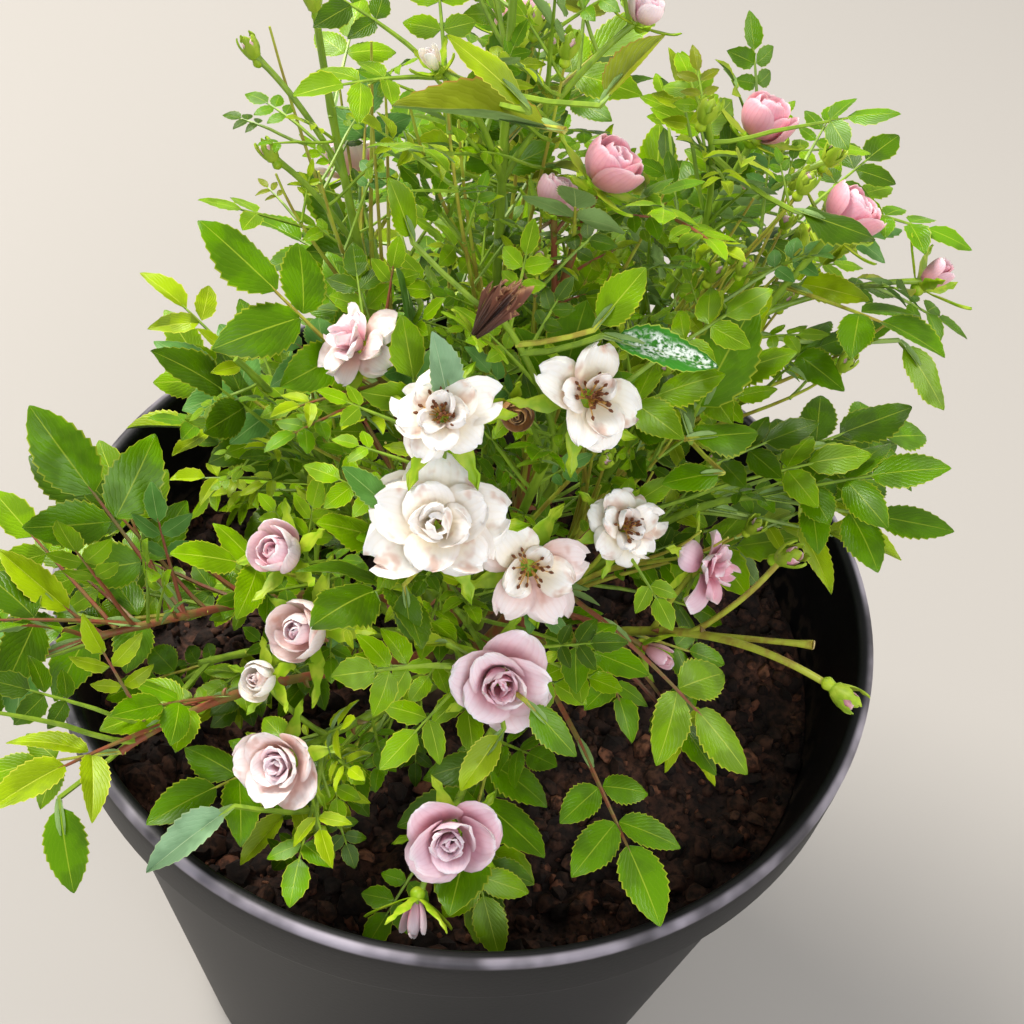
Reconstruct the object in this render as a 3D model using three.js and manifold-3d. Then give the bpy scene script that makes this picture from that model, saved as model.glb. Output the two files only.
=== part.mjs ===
// A miniature rose bush in full bloom, growing in the round black plastic pot it is sold in.
// Millimetres, +Z up. The origin is the centre of the pot's flat underside. The bush is open
// towards -Y, where the potting soil shows in front of its stems.
import * as THREE from "three";
import { mergeVertices } from "three/addons/utils/BufferGeometryUtils.js";
import Module from "manifold-3d";

const wasm = await Module();
wasm.setup();

// The driving dimensions.
const POT = {
  height: 125,
  rimRadius: 75,
  footRadius: 53,
  wall: 1.6,
  floor: 2.4,
  lipProud: 1.4,
  lipHeight: 13,
  lipFlare: 0.6,
  lipEdge: 0.9,
  sides: 32,
};
const SOIL = { belowRim: 22, clear: 0.4, wallClear: 0.64, crown: 2.5, lump: 0.9, flat: 23, sides: 32 };
const STOCK = { radius: 11, flare: 14, neck: 4, sides: 16 };
const CANE = { footRadius: 1.25, forkRadius: 0.85, tipRadius: 0.55, sides: 5, steps: 4 };
const STEM = { sides: 3, steps: 3 };
const STALK = { radius: 0.55, tipRadius: 0.5, sides: 3, steps: 2 };
const SEAT = 0.3;

// A compound leaf at scale 1: the rachis, and each pair of leaflets as its place along the rachis,
// its length, its width and the angle it stands out at. The leaflet at the end has no angle.
const LEAF = {
  reach: 43,
  thick: 0.62,
  rachis: 0.95,
  sink: 0.7,
  neck: 1.6,
  foot: 0.6,
  widest: 0.43,
  pairs: [[12, 11.5, 7.6, 72], [20.5, 14.5, 9, 60]],
  end: [26, 17, 10.2],
};
// The rule that finds each leaf its room, and how the leaves stand on a stem.
const GOLDEN_TURN = 137.5;
const TWIG = { every: 3, shortest: 7, longest: 12, lastAt: 0.9 };
const TRY_TURNS = [0, 45, -45, 90, -90, 135, -135, 180];
const TRY_PITCHES = [0, 22, -22, -44];
const TRY_SCALES = [1, 0.8, 0.65, 0.5];
const FEWER_LEAFLETS = 0.7;
const OPEN_AIR = { ahead: 35, wider: 1.3 };
const ROOM = { mass: 0.9, limb: 2.2, wall: 1.6, soil: 2.5, bloom: 0.6, leaf: 2.2 };

// One row a shoot. turn, reach and rise place its tip: degrees about the pot's axis from +X,
// millimetres from that axis, and millimetres above the rim. lean is how far the tip points away
// from upright, fork the share of the limb that is bare cane, and leaves the number of compound
// leaves, the last of which stands at the leafEnd share of its stem; leafSize makes them smaller.
// A bloom is [kind, size, turn, reach, rise, nod], and nod is how far it faces away from straight
// up; a shoot's first bloom ends its own stem. A long leaf is [share of the stem, bare share of its
// own length, turn, reach, rise]: a leaf at the end of a twig, with its tip at that place.
const SHOOTS = [
  { name: "cream_truss", turn: -97, reach: 38, rise: 60, lean: 30, fork: 0.4, leaves: 4,
    blooms: [["open", 19, -97, 38, 60, 38], ["open", 15.5, -101, 32, 76, 30], ["open", 16, -73, 33, 46, 48],
      ["rosette", 16, -80, 45, 33, 52]] },
  { name: "cream_single", turn: -57, reach: 26, rise: 74, lean: 22, fork: 0.45, leaves: 3,
    blooms: [["open", 16, -57, 26, 74, 36], ["spent", 8, -92, 18, 84, 30], ["bud", 5, -79, 21, 67, 70]] },
  { name: "blown_front", turn: -47, reach: 34, rise: 51, lean: 40, fork: 0.4, leaves: 3,
    blooms: [["open", 12, -47, 34, 51, 40], ["bud", 6.5, -35, 40, 18, 85]],
    longLeaves: [[0.1, 0.45, -60, 76, 8]] },
  { name: "bud_arm", turn: -33, reach: 71, rise: 36, lean: 88, fork: 0.4, leaves: 1, leafEnd: 0.1,
    blooms: [["bud", 6, -33, 71, 36, 95], ["bud", 6, -23, 53, 45, 40], ["rosette", 13, -25, 43, 36, 75]] },
  { name: "low_front", turn: -86, reach: 57, rise: 6, lean: 70, fork: 0.4, leaves: 3,
    blooms: [["rosette", 15, -86, 57, 6, 50], ["bud", 7, -90, 65, -4, 120]],
    longLeaves: [[0.25, 0, -66, 46, 10]] },
  { name: "pale_front_left", turn: -116, reach: 57, rise: 12, lean: 65, fork: 0.4, leaves: 4,
    blooms: [["rosette", 14, -116, 57, 12, 50], ["bud", 5, -107, 60, 0, 110], ["bud", 7, -126, 51, 20, 50]],
    longLeaves: [[0.3, 0.25, -126, 75, 5]] },
  { name: "front_low_leaves", turn: -103, reach: 34, rise: 12, lean: 60, fork: 0.3, leaves: 4 },
  { name: "left_low", turn: -146, reach: 52, rise: 4, lean: 80, fork: 0.3, leaves: 5 },
  { name: "left_buds", turn: -137, reach: 41, rise: 36, lean: 40, fork: 0.45, leaves: 4,
    blooms: [["ball", 9, -137, 41, 36, 40], ["ball", 9.5, -124, 44, 28, 50]] },
  { name: "left_arch", turn: -131, reach: 74, rise: 16, lean: 95, fork: 0.4, leaves: 5 },
  { name: "left_reach", turn: -150, reach: 70, rise: 14, lean: 88, fork: 0.4, leaves: 5,
    longLeaves: [[0.6, 0, -171, 74, 42]] },
  { name: "left_middle", turn: -178, reach: 42, rise: 50, lean: 45, fork: 0.4, leaves: 5 },
  { name: "left_pink", turn: -156, reach: 24, rise: 66, lean: 25, fork: 0.4, leaves: 3,
    blooms: [["rosette", 14, -156, 24, 66, 45]], longLeaves: [[0.7, 0, 175, 49, 74]] },
  { name: "back_left_buds", turn: 146, reach: 42, rise: 101, lean: 12, fork: 0.45, leaves: 3, leafSize: 0.6,
    blooms: [["bud", 4.5, 146, 42, 101, 20], ["bud", 4.5, 152, 50, 91, 35], ["bud", 4.5, 158, 43, 78, 40]] },
  { name: "crown_top", turn: 115, reach: 13, rise: 126, lean: 5, fork: 0.45, leaves: 5, leafSize: 0.75,
    blooms: [["bud", 5, 115, 13, 126, 10], ["bud", 6, 55, 24, 111, 25], ["bud", 4.5, -170, 14, 112, 25]] },
  { name: "centre_pink", turn: 20, reach: 13, rise: 95, lean: 15, fork: 0.45, leaves: 4, leafSize: 0.85,
    blooms: [["ball", 9.5, 20, 13, 95, 30], ["ball", 7, 42, 7, 88, 30]] },
  { name: "back_right_pink", turn: 39, reach: 45, rise: 90, lean: 20, fork: 0.45, leaves: 4,
    leafSize: 0.75,
    blooms: [["ball", 9, 39, 45, 90, 25], ["bud", 5, 34, 30, 97, 15], ["bud", 5, 32, 55, 84, 30]] },
  { name: "right_pink", turn: 24, reach: 56, rise: 79, lean: 30, fork: 0.45, leaves: 4, leafSize: 0.8,
    blooms: [["ball", 9.5, 24, 56, 79, 40], ["bud", 7, 20, 72, 67, 45]] },
  { name: "right_reach", turn: -8, reach: 45, rise: 42, lean: 65, fork: 0.4, leaves: 5,
    longLeaves: [[1, 0, -8, 76, 46]] },
  { name: "right_middle", turn: -4, reach: 30, rise: 60, lean: 35, fork: 0.4, leaves: 5 },
  { name: "back_tall", turn: 96, reach: 52, rise: 86, lean: 30, fork: 0.4, leaves: 4, leafSize: 0.75,
    blooms: [["ball", 9, 96, 52, 86, 35], ["bud", 5, 84, 58, 76, 40]] },
  { name: "back_left", turn: 120, reach: 68, rise: 46, lean: 50, fork: 0.4, leaves: 5, leafSize: 0.85,
    blooms: [["rosette", 14, 120, 68, 46, 55]] },
  { name: "back_right", turn: 58, reach: 68, rise: 58, lean: 45, fork: 0.4, leaves: 4, leafSize: 0.9,
    blooms: [["rosette", 14, 58, 68, 58, 50]] },
  { name: "left_back", turn: 172, reach: 42, rise: 22, lean: 70, fork: 0.4, leaves: 4, leafSize: 0.85 },
  { name: "right_low", turn: 16, reach: 56, rise: 32, lean: 70, fork: 0.4, leaves: 4 },
  { name: "back_low", turn: 82, reach: 78, rise: 30, lean: 75, fork: 0.4, leaves: 4,
    blooms: [["rosette", 13, 82, 78, 30, 65]] },
  { name: "back_left_low", turn: 111, reach: 72, rise: 26, lean: 75, fork: 0.4, leaves: 4 },
  { name: "back_left_arch", turn: 148, reach: 56, rise: 4, lean: 95, fork: 0.4, leaves: 4, leafSize: 0.85 },
];

const Z_RIM = POT.height;
const Z_SOIL = Z_RIM - SOIL.belowRim;
const UP = new THREE.Vector3(0, 0, 1);
const radians = THREE.MathUtils.degToRad;
const mix = THREE.MathUtils.lerp;

// A plain finish for each kind of piece.
const finish = (color, roughness) => new THREE.MeshStandardMaterial({ color, roughness, metalness: 0 });
const FINISHES = {
  pot: finish("#1b1b1d", 0.55),
  soil: finish("#3a2a22", 0.95),
  stock: finish("#6b5138", 0.9),
  cane: finish("#6f8a33", 0.6),
  foliage: finish("#4f9130", 0.55),
};

// The same stream of numbers for the same seed, each from 0 up to 1.
function seeded(seed) {
  let state = seed >>> 0;
  return () => {
    state = (state + 0x6d2b79f5) >>> 0;
    let mixed = Math.imul(state ^ (state >>> 15), state | 1);
    mixed ^= mixed + Math.imul(mixed ^ (mixed >>> 7), mixed | 61);
    return ((mixed ^ (mixed >>> 14)) >>> 0) / 4294967296;
  };
}

// The point at a turn and reach from the pot's axis, a rise above the rim.
function place(turn, reach, rise) {
  const angle = radians(turn);
  return new THREE.Vector3(reach * Math.cos(angle), reach * Math.sin(angle), Z_RIM + rise);
}

// The unit direction that leans away from upright towards a turn.
function leaning(turn, lean) {
  const angle = radians(turn);
  const out = Math.sin(radians(lean));
  return new THREE.Vector3(out * Math.cos(angle), out * Math.sin(angle), Math.cos(radians(lean)));
}

// A geometry with one vertex at each place, so that its faces share them.
function welded(geometry) {
  const bare = geometry.clone();
  bare.deleteAttribute("normal");
  bare.deleteAttribute("uv");
  return mergeVertices(bare, 1e-4);
}

// A closed three.js geometry as a solid for cutting and joining.
function solidOf(geometry) {
  const merged = welded(geometry);
  const triVerts = new Uint32Array(merged.index.array);
  const vertProperties = new Float32Array(merged.attributes.position.array);
  return new wasm.Manifold(new wasm.Mesh({ numProp: 3, vertProperties, triVerts }));
}

// A solid as a named mesh. Of several bodies only the largest is kept, so a loose scrap or a
// sealed hollow left by joining the parts is gone.
function meshOf(name, solid, material) {
  const bodies = solid.decompose().sort((a, b) => b.volume() - a.volume());
  const { numProp, numVert, vertProperties, triVerts } = bodies[0].getMesh();
  const points = new Float32Array(numVert * 3);
  for (let i = 0; i < numVert; i++) points.set(vertProperties.subarray(i * numProp, i * numProp + 3), i * 3);
  const geometry = new THREE.BufferGeometry();
  geometry.setAttribute("position", new THREE.BufferAttribute(points, 3));
  geometry.setIndex(new THREE.BufferAttribute(triVerts, 1));
  const mesh = new THREE.Mesh(geometry, material);
  mesh.name = name;
  return mesh;
}

// Moves every vertex of a geometry by a function of its place.
function reshape(geometry, move) {
  const position = geometry.attributes.position;
  const point = new THREE.Vector3();
  for (let i = 0; i < position.count; i++) {
    point.fromBufferAttribute(position, i);
    const moved = move(point);
    position.setXYZ(i, moved.x, moved.y, moved.z);
  }
  return geometry;
}

// A unit direction square to another, the same one each time.
function squareTo(direction) {
  const side = new THREE.Vector3().crossVectors(direction, UP);
  return side.length() < 0.05 ? side.set(1, 0, 0) : side.normalize();
}

// A tapering rod with flat ends, bent along a curve.
function limb(curve, startRadius, endRadius, sides, steps) {
  const rings = [];
  let across = squareTo(curve.getTangent(0));
  for (let step = 0; step <= steps; step++) {
    const tangent = curve.getTangent(step / steps);
    across = across.clone().addScaledVector(tangent, -across.dot(tangent)).normalize();
    const centre = curve.getPoint(step / steps);
    const radius = mix(startRadius, endRadius, step / steps);
    rings.push({ centre, across, beside: tangent.clone().cross(across), radius });
  }
  const rod = new THREE.CylinderGeometry(1, 1, 1, sides, steps);
  reshape(rod, (p) => {
    const { centre, across: x, beside: y, radius } = rings[Math.round((p.y + 0.5) * steps)];
    return centre.clone().addScaledVector(x, -p.x * radius).addScaledVector(y, p.z * radius);
  });
  return solidOf(rod);
}

// A closed shape turned about +Z from a profile of [radius, height] pairs, from axis to axis.
function turned(profile, sides) {
  const lathe = new THREE.LatheGeometry(profile.map(([r, z]) => new THREE.Vector2(r, z)), sides);
  return welded(lathe.rotateX(Math.PI / 2));
}

// The radius of the pot's tapering wall at a height, outside and inside.
const potOutside = (z) => mix(POT.footRadius, POT.rimRadius - POT.lipProud, z / POT.height);
const potInside = (z) => potOutside(z) - POT.wall;

// The pot: a tapering bucket with a flat underside and a band round its rim.
function pot() {
  const { height, rimRadius, floor, lipHeight, lipFlare, lipEdge } = POT;
  const bandFoot = height - lipHeight;
  const profile = [
    [0, 0],
    [POT.footRadius, 0],
    [potOutside(bandFoot), bandFoot],
    [rimRadius - lipFlare, bandFoot],
    [rimRadius, height - lipEdge],
    [rimRadius - lipEdge, height],
    [potInside(height), height],
    [potInside(floor), floor],
    [0, floor],
  ];
  return solidOf(turned(profile, POT.sides));
}

// The potting soil: a plug that fills the pot to below the rim, heaped a little and uneven on top.
function soil() {
  const low = POT.floor + SOIL.clear;
  const edge = potInside(Z_SOIL - SOIL.crown) - SOIL.wallClear;
  const random = seeded(7);
  const heap = (share) => Z_SOIL - SOIL.crown * share * share;
  const profile = [
    [0, low],
    [potInside(low) - SOIL.wallClear, low],
    [edge, heap(1)],
    ...[0.9, 0.7, 0.5, 0.3].map((share) => [edge * share, heap(share)]),
    [0, Z_SOIL],
  ];
  const plug = turned(profile, SOIL.sides);
  reshape(plug, (p) => {
    const radius = Math.hypot(p.x, p.y);
    const uneven = p.z > low && radius > SOIL.flat && radius < edge * 0.97;
    return p.setZ(p.z + (uneven ? (random() - 0.5) * 2 * SOIL.lump : 0));
  });
  return solidOf(plug);
}

// The woody stock: a short flared stem with a domed head, which every cane springs from.
const DOME_CENTRE = new THREE.Vector3(0, 0, Z_SOIL + SEAT + STOCK.neck);
function stock() {
  const { radius, flare, neck, sides } = STOCK;
  const base = Z_SOIL + SEAT;
  const profile = [[0, base], [flare, base], [flare - 1.4, base + neck * 0.35], [radius, base + neck]];
  for (const polar of [66, 43, 19]) {
    const angle = radians(polar);
    profile.push([radius * Math.sin(angle), base + neck + radius * Math.cos(angle)]);
  }
  profile.push([0, base + neck + radius]);
  return solidOf(turned(profile, sides));
}

// Where each cane leaves the stock: three rings on the dome, the farthest reaching canes lowest,
// each ring in the order of the canes' turns, so that no two cross.
const FOOT_RINGS = [{ polar: 66, count: 12 }, { polar: 43, count: 11 }, { polar: 19, count: 5 }];
function footDirections() {
  const spread = (s) => s.reach / (s.rise + 25);
  const byReach = SHOOTS.map((_, i) => i).sort((a, b) => spread(SHOOTS[b]) - spread(SHOOTS[a]));
  const feet = [];
  for (const { polar, count } of FOOT_RINGS) {
    const ring = byReach.splice(0, count).sort((a, b) => SHOOTS[a].turn - SHOOTS[b].turn);
    const step = 360 / ring.length;
    const drift = ring.reduce((sum, shoot, i) => sum + SHOOTS[shoot].turn - i * step, 0) / ring.length;
    ring.forEach((shoot, i) => {
      feet[shoot] = leaning(drift + i * step, polar);
    });
  }
  return feet;
}

// A bloom's own facts: its kind, its size across, its centre and the way it faces.
function bloomOf([kind, size, turn, reach, rise, nod]) {
  return { kind, radius: size / 2, centre: place(turn, reach, rise), facing: leaning(turn, nod) };
}

// The place inside a bloom where its stalk ends.
const seatOf = (bloom) => bloom.centre.clone().addScaledVector(bloom.facing, -bloom.radius * 0.35);

// A shoot's whole limb is one curve from the stock to its tip.
function growLimb(shoot, foot) {
  const start = DOME_CENTRE.clone().addScaledVector(foot, STOCK.radius + SEAT);
  const blooms = (shoot.blooms ?? []).map(bloomOf);
  const tip = blooms.length ? seatOf(blooms[0]) : place(shoot.turn, shoot.reach, shoot.rise);
  const arm = start.distanceTo(tip) * 0.36;
  return { shoot, blooms, whole: new THREE.CubicBezierCurve3(
    start,
    start.clone().addScaledVector(foot, arm * 0.6),
    tip.clone().addScaledVector(leaning(shoot.turn, shoot.lean), -arm),
    tip,
  ) };
}

// The part of a curve between two shares of it, as a curve.
class Stretch extends THREE.Curve {
  constructor(curve, from, to) {
    super();
    Object.assign(this, { curve, from, to });
  }
  getPoint(t, target) {
    return this.curve.getPoint(mix(this.from, this.to, t), target);
  }
}

// A bloom's stalk: from the stem, short of the point nearest to the bloom, to inside the bloom.
function stalkOf(stem, bloom) {
  const end = seatOf(bloom);
  const shares = Array.from({ length: 21 }, (_, i) => i / 20);
  const gaps = shares.map((share) => stem.getPoint(share).distanceTo(end));
  const at = Math.min(0.85, Math.max(0.08, shares[gaps.indexOf(Math.min(...gaps))] - 0.3));
  const root = stem.getPoint(at);
  const rising = root.clone().addScaledVector(stem.getTangent(at), gaps[Math.round(at * 20)] * 0.45);
  const behind = end.clone().addScaledVector(bloom.facing, -bloom.radius * 1.2);
  return new THREE.QuadraticBezierCurve3(root, rising.lerp(behind, 0.5), end);
}

// A closed shape for each kind of bloom, facing +Z, of radius 1.
const BLOOM_SHAPES = {
  open: {
    sides: 10,
    scallop: 0.14,
    profile: [[0, -0.7], [0.28, -0.55], [0.98, 0.02], [0.9, 0.22], [0.34, 0.1], [0, 0]],
  },
  rosette: {
    sides: 8,
    scallop: 0.08,
    profile: [[0, -0.75], [0.6, -0.5], [0.98, 0], [0.7, 0.48], [0, 0.4]],
  },
  ball: {
    sides: 8,
    scallop: 0.05,
    profile: [[0, -0.95], [0.66, -0.6], [0.96, 0], [0.62, 0.72], [0, 0.86]],
  },
  bud: {
    sides: 6,
    scallop: 0,
    profile: [[0, -1.15], [0.66, -0.6], [0.6, 0.35], [0, 1.15]],
  },
  spent: {
    sides: 6,
    scallop: 0.2,
    profile: [[0, -0.9], [0.5, -0.5], [0.8, 0.3], [0.5, 0.9], [0, 0.6]],
  },
};
function bloomSolid({ kind, radius, centre, facing }) {
  const { sides, scallop, profile } = BLOOM_SHAPES[kind];
  const shape = turned(profile, sides);
  const turn = new THREE.Quaternion().setFromUnitVectors(UP, facing);
  reshape(shape, (p) => {
    const side = Math.round((Math.atan2(p.y, p.x) / (2 * Math.PI)) * sides);
    const lobe = 1 - scallop * Math.abs(side % 2);
    p.set(p.x * lobe, p.y * lobe, p.z);
    return p.multiplyScalar(radius).applyQuaternion(turn).add(centre);
  });
  return solidOf(shape);
}

// A leaf's own frame: its root at the end of a bare twig, the way it runs, the way its upper side
// faces, its scale and how far its tip curls down.
function leafFrame(root, along, tangent, { scale, curl, leaflets, bare }) {
  const face = UP.clone().addScaledVector(tangent, 0.5);
  face.addScaledVector(along, -face.dot(along));
  if (face.length() < 0.1) face.copy(squareTo(along));
  face.normalize();
  return { root, along, face, across: along.clone().cross(face), scale, curl, leaflets, bare };
}

// The place of a point of a flat leaf, x across and y along it at scale 1, once the leaf is bent.
function bent({ root, along, face, across, scale, curl }, x, y, lift = 0) {
  const share = Math.max(0, y) / LEAF.reach;
  const drop = curl * share * share * LEAF.reach + 0.012 * x * x;
  return root
    .clone()
    .addScaledVector(along, y * scale)
    .addScaledVector(across, x * scale)
    .addScaledVector(face, lift - drop * scale);
}

// The flat outline of a compound leaf at the end of a bare twig: the leaflets of one side, and the
// same mirrored. The twig's root is a point.
const pairsOf = (leaflets) => (leaflets === 5 ? LEAF.pairs : LEAF.pairs.slice(1));
function leafOutline(leaflets, bare) {
  const half = LEAF.rachis / 2;
  const side = [[half, LEAF.neck - bare]];
  for (const [at, length, width, angle] of pairsOf(leaflets)) {
    const out = [Math.sin(radians(angle)), Math.cos(radians(angle))];
    const point = (share, wide) => [
      half + out[0] * share * length - out[1] * wide * width,
      at + out[1] * share * length + out[0] * wide * width,
    ];
    const tip = [point(LEAF.widest, -0.5), point(1, 0), point(LEAF.widest, 0.5)];
    side.push([half, at - LEAF.foot], ...tip, [half, at + LEAF.foot]);
  }
  const [at, length, width] = LEAF.end;
  side.push([half, at], [width / 2, at + LEAF.widest * length]);
  const mirrored = side.map(([x, y]) => [-x, y]).reverse();
  const outline = [...side, [0, at + length], ...mirrored, [0, -LEAF.sink - bare]];
  return new THREE.Shape(outline.map(([x, y]) => new THREE.Vector2(x, y)));
}

// A compound leaf as a thin solid.
function leafSolid(frame) {
  const outline = leafOutline(frame.leaflets, frame.bare / frame.scale);
  const leaf = new THREE.ExtrudeGeometry(outline, { depth: LEAF.thick, bevelEnabled: false });
  return solidOf(reshape(leaf, (p) => bent(frame, p.x, p.y, p.z - LEAF.thick / 2)));
}

// The points of a leaf that are tested for room, x across and y along it at scale 1: seven on each
// leaflet and one on the rachis.
function leafProbes(leaflets) {
  const wide = LEAF.widest;
  const marks = [[0.2, 0], [wide, -0.5], [wide, 0], [wide, 0.5], [0.75, -0.28], [0.75, 0.28], [1, 0]];
  const probes = [[0, 16]];
  for (const [at, length, width, angle] of [...pairsOf(leaflets), [...LEAF.end, 0]]) {
    for (const mirror of angle ? [-1, 1] : [1]) {
      const out = [Math.sin(radians(angle)), Math.cos(radians(angle))];
      for (const [share, aside] of marks) {
        const x = out[0] * share * length - out[1] * aside * width;
        const y = at + out[1] * share * length + out[0] * aside * width;
        probes.push([x * mirror, y]);
      }
    }
  }
  return probes;
}
const PROBES = { 5: leafProbes(5), 3: leafProbes(3) };
const probesOf = (frame) => PROBES[frame.leaflets].map(([x, y]) => bent(frame, x, y));

// What a mass is grown round: points with a radius along its stem, stalks, blooms and long leaf. A
// point of space belongs to the mass whose site is nearest to it.
function spaceSites({ stem, stalks, blooms, heroes }) {
  const sites = [];
  const samples = 10;
  for (let i = 0; i <= samples; i++) sites.push([stem.getPoint(i / samples), 1]);
  for (const stalk of stalks) {
    for (let i = 1; i <= samples; i++) sites.push([stalk.getPoint(i / samples), 1]);
  }
  for (const bloom of blooms) sites.push([bloom.centre, bloom.radius]);
  for (const leaf of heroes) {
    for (let y = 0; y < leaf.bare / leaf.scale; y += 5) sites.push([bent(leaf, 0, -y), 1]);
    for (const y of [8, 14, 20, 26, 32, 38, 42]) sites.push([bent(leaf, 0, y), 4]);
  }
  return sites;
}
const clearOf = (sites, point) => Math.min(...sites.map(([at, radius]) => at.distanceTo(point) - radius));

// True where a point is clear of the pot's wall and the soil.
function clearOfPot(p) {
  const radius = Math.hypot(p.x, p.y);
  const inWall = radius > potInside(p.z) - ROOM.wall && radius < POT.rimRadius + ROOM.wall;
  const inSoil = radius < POT.rimRadius && p.z < Z_SOIL + ROOM.soil;
  return !inSoil && (p.z > Z_RIM + ROOM.wall || !inWall);
}

// True where a point isn't in the open air that every large bloom faces.
function clearOfFaces(p) {
  return BLOOM_FACES.every(({ centre, facing, radius }) => {
    const out = p.clone().sub(centre);
    const ahead = out.dot(facing);
    const aside = out.addScaledVector(facing, -ahead).length();
    return ahead < 0 || ahead > OPEN_AIR.ahead || aside > radius * OPEN_AIR.wider;
  });
}

// True where a leaf keeps to its mass's space, off its blooms, its other leaves and every cane.
function hasRoom(frame, index, placed) {
  const probes = probesOf(frame);
  const free = probes.every((p) => {
    const own = clearOf(plant[index].sites, p);
    return (
      clearOfPot(p) &&
      clearOfFaces(p) &&
      plant[index].blooms.every((b) => b.centre.distanceTo(p) > b.radius + ROOM.bloom) &&
      plant[index].stalks.every((s) => s.samples.every((q) => q.distanceTo(p) > 1)) &&
      plant.every((other, i) => i === index || clearOf(other.sites, p) > own + ROOM.mass) &&
      CANE_POINTS.every(([at, radius]) => at.distanceTo(p) > radius + ROOM.limb)
    );
  });
  if (!free) return null;
  const crowded = probes.some((p) => placed.some((q) => q.distanceTo(p) < ROOM.leaf));
  return crowded ? null : probes;
}

// The leaves of a mass, by a seeded rule: they stand round the stem a golden turn apart, the lower
// ones wider out, and each tries a few turns, pitches and smaller sizes before it is left out.
function leavesOf(index) {
  const { shoot, stem, heroes } = plant[index];
  const random = seeded(101 + index * 17);
  const leaves = [...heroes];
  const placed = heroes.flatMap(probesOf);
  const last = shoot.leafEnd ?? (shoot.blooms ? 0.75 : 1);
  let turn = random() * 360;
  for (let i = 0; i < shoot.leaves; i++) {
    turn += GOLDEN_TURN;
    const at = mix(0.05, last, i / Math.max(1, shoot.leaves - 1));
    const root = stem.getPoint(at);
    const tangent = stem.getTangent(at);
    const pitch = mix(70, shoot.blooms ? 55 : 10, at) + (random() - 0.5) * 20;
    const size = (shoot.leafSize ?? 1) * mix(1.0, 0.8, at) * mix(0.88, 1.08, random());
    const curl = mix(0.02, 0.22, random());
    const leaflets = (shoot.blooms && at > 0.45) || i % 2 === 1 ? 3 : 5;
    const twigged = i % TWIG.every === 1 && at < TWIG.lastAt;
    const twig = mix(TWIG.shortest, TWIG.longest, random()) * (twigged ? 1 : 0);
    const found = findRoom(index, placed, { root, tangent, turn, pitch, size, curl, leaflets, twig });
    if (!found) continue;
    leaves.push(found.frame);
    placed.push(...found.probes);
  }
  return leaves;
}

// The first of a leaf's tries that has room. A leaf on a side twig starts at the twig's end.
function findRoom(index, placed, { root, tangent, turn, pitch, size, curl, leaflets, twig }) {
  for (const smaller of TRY_SCALES) {
    const fewer = smaller < FEWER_LEAFLETS ? 3 : leaflets;
    const kind = { scale: size * smaller, curl, leaflets: fewer, bare: twig * smaller };
    for (const more of TRY_PITCHES) {
      for (const extra of TRY_TURNS) {
        const around = squareTo(tangent).applyAxisAngle(tangent, radians(turn + extra));
        const along = tangent.clone().multiplyScalar(Math.cos(radians(pitch + more)));
        along.addScaledVector(around, Math.sin(radians(pitch + more))).addScaledVector(UP, 0.12).normalize();
        const start = root.clone().addScaledVector(along, kind.bare);
        const frame = leafFrame(start, along, tangent, kind);
        const probes = hasRoom(frame, index, placed);
        if (probes) return { frame, probes };
      }
    }
  }
  return null;
}

// A shoot's long leaves, each straight to its named tip from the end of a bare twig.
function heroesOf(shoot, stem) {
  return (shoot.longLeaves ?? []).map(([share, bare, turn, reach, rise]) => {
    const start = stem.getPoint(share);
    const tip = place(turn, reach, rise);
    const root = start.clone().lerp(tip, bare);
    const scale = root.distanceTo(tip) / LEAF.reach;
    const along = tip.sub(root).normalize();
    const bareLength = start.distanceTo(root);
    return leafFrame(root, along, stem.getTangent(share), { scale, curl: 0, leaflets: 5, bare: bareLength });
  });
}

// One mass: its stem, the blooms on their stalks and the leaves, joined into one solid.
function massOf(index) {
  const { stem, stalks, blooms } = plant[index];
  const parts = [limb(stem, CANE.forkRadius, CANE.tipRadius, STEM.sides, STEM.steps)];
  parts.push(...stalks.map((stalk) => limb(stalk, STALK.radius, STALK.tipRadius, STALK.sides, STALK.steps)));
  parts.push(...blooms.map(bloomSolid));
  parts.push(...leavesOf(index).map(leafSolid));
  return wasm.Manifold.union(parts);
}

// The plant: each limb is cut at its fork, with the seat's gap between the cane and the stem.
const STALK_SAMPLES = [0.3, 0.5, 0.7, 0.9];
const feet = footDirections();
const plant = SHOOTS.map((shoot, i) => {
  const { whole, blooms } = growLimb(shoot, feet[i]);
  const cane = new Stretch(whole, 0, shoot.fork);
  const stem = new Stretch(whole, shoot.fork + SEAT / whole.getLength(), 1);
  const stalks = blooms.slice(1).map((bloom) => stalkOf(stem, bloom));
  for (const stalk of stalks) stalk.samples = STALK_SAMPLES.map((share) => stalk.getPoint(share));
  return { shoot, blooms, cane, stem, stalks, heroes: heroesOf(shoot, stem) };
});
for (const grown of plant) grown.sites = spaceSites(grown);
const BLOOM_FACES = plant.flatMap(({ blooms }) => blooms.filter((bloom) => bloom.radius > 4));
const CANE_SAMPLES = 14;
const CANE_POINTS = plant.flatMap(({ cane }) =>
  Array.from({ length: CANE_SAMPLES + 1 }, (_, i) => {
    const share = i / CANE_SAMPLES;
    return [cane.getPoint(share), mix(CANE.footRadius, CANE.forkRadius, share)];
  }),
);

const roseBush = new THREE.Group();
roseBush.add(meshOf("pot", pot(), FINISHES.pot));
roseBush.add(meshOf("soil", soil(), FINISHES.soil));
roseBush.add(meshOf("stock", stock(), FINISHES.stock));
plant.forEach(({ shoot, cane }, i) => {
  const rod = limb(cane, CANE.footRadius, CANE.forkRadius, CANE.sides, CANE.steps);
  roseBush.add(meshOf(`cane_${shoot.name}`, rod, FINISHES.cane));
  roseBush.add(meshOf(`mass_${shoot.name}`, massOf(i), FINISHES.foliage));
});

export default roseBush;
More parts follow.
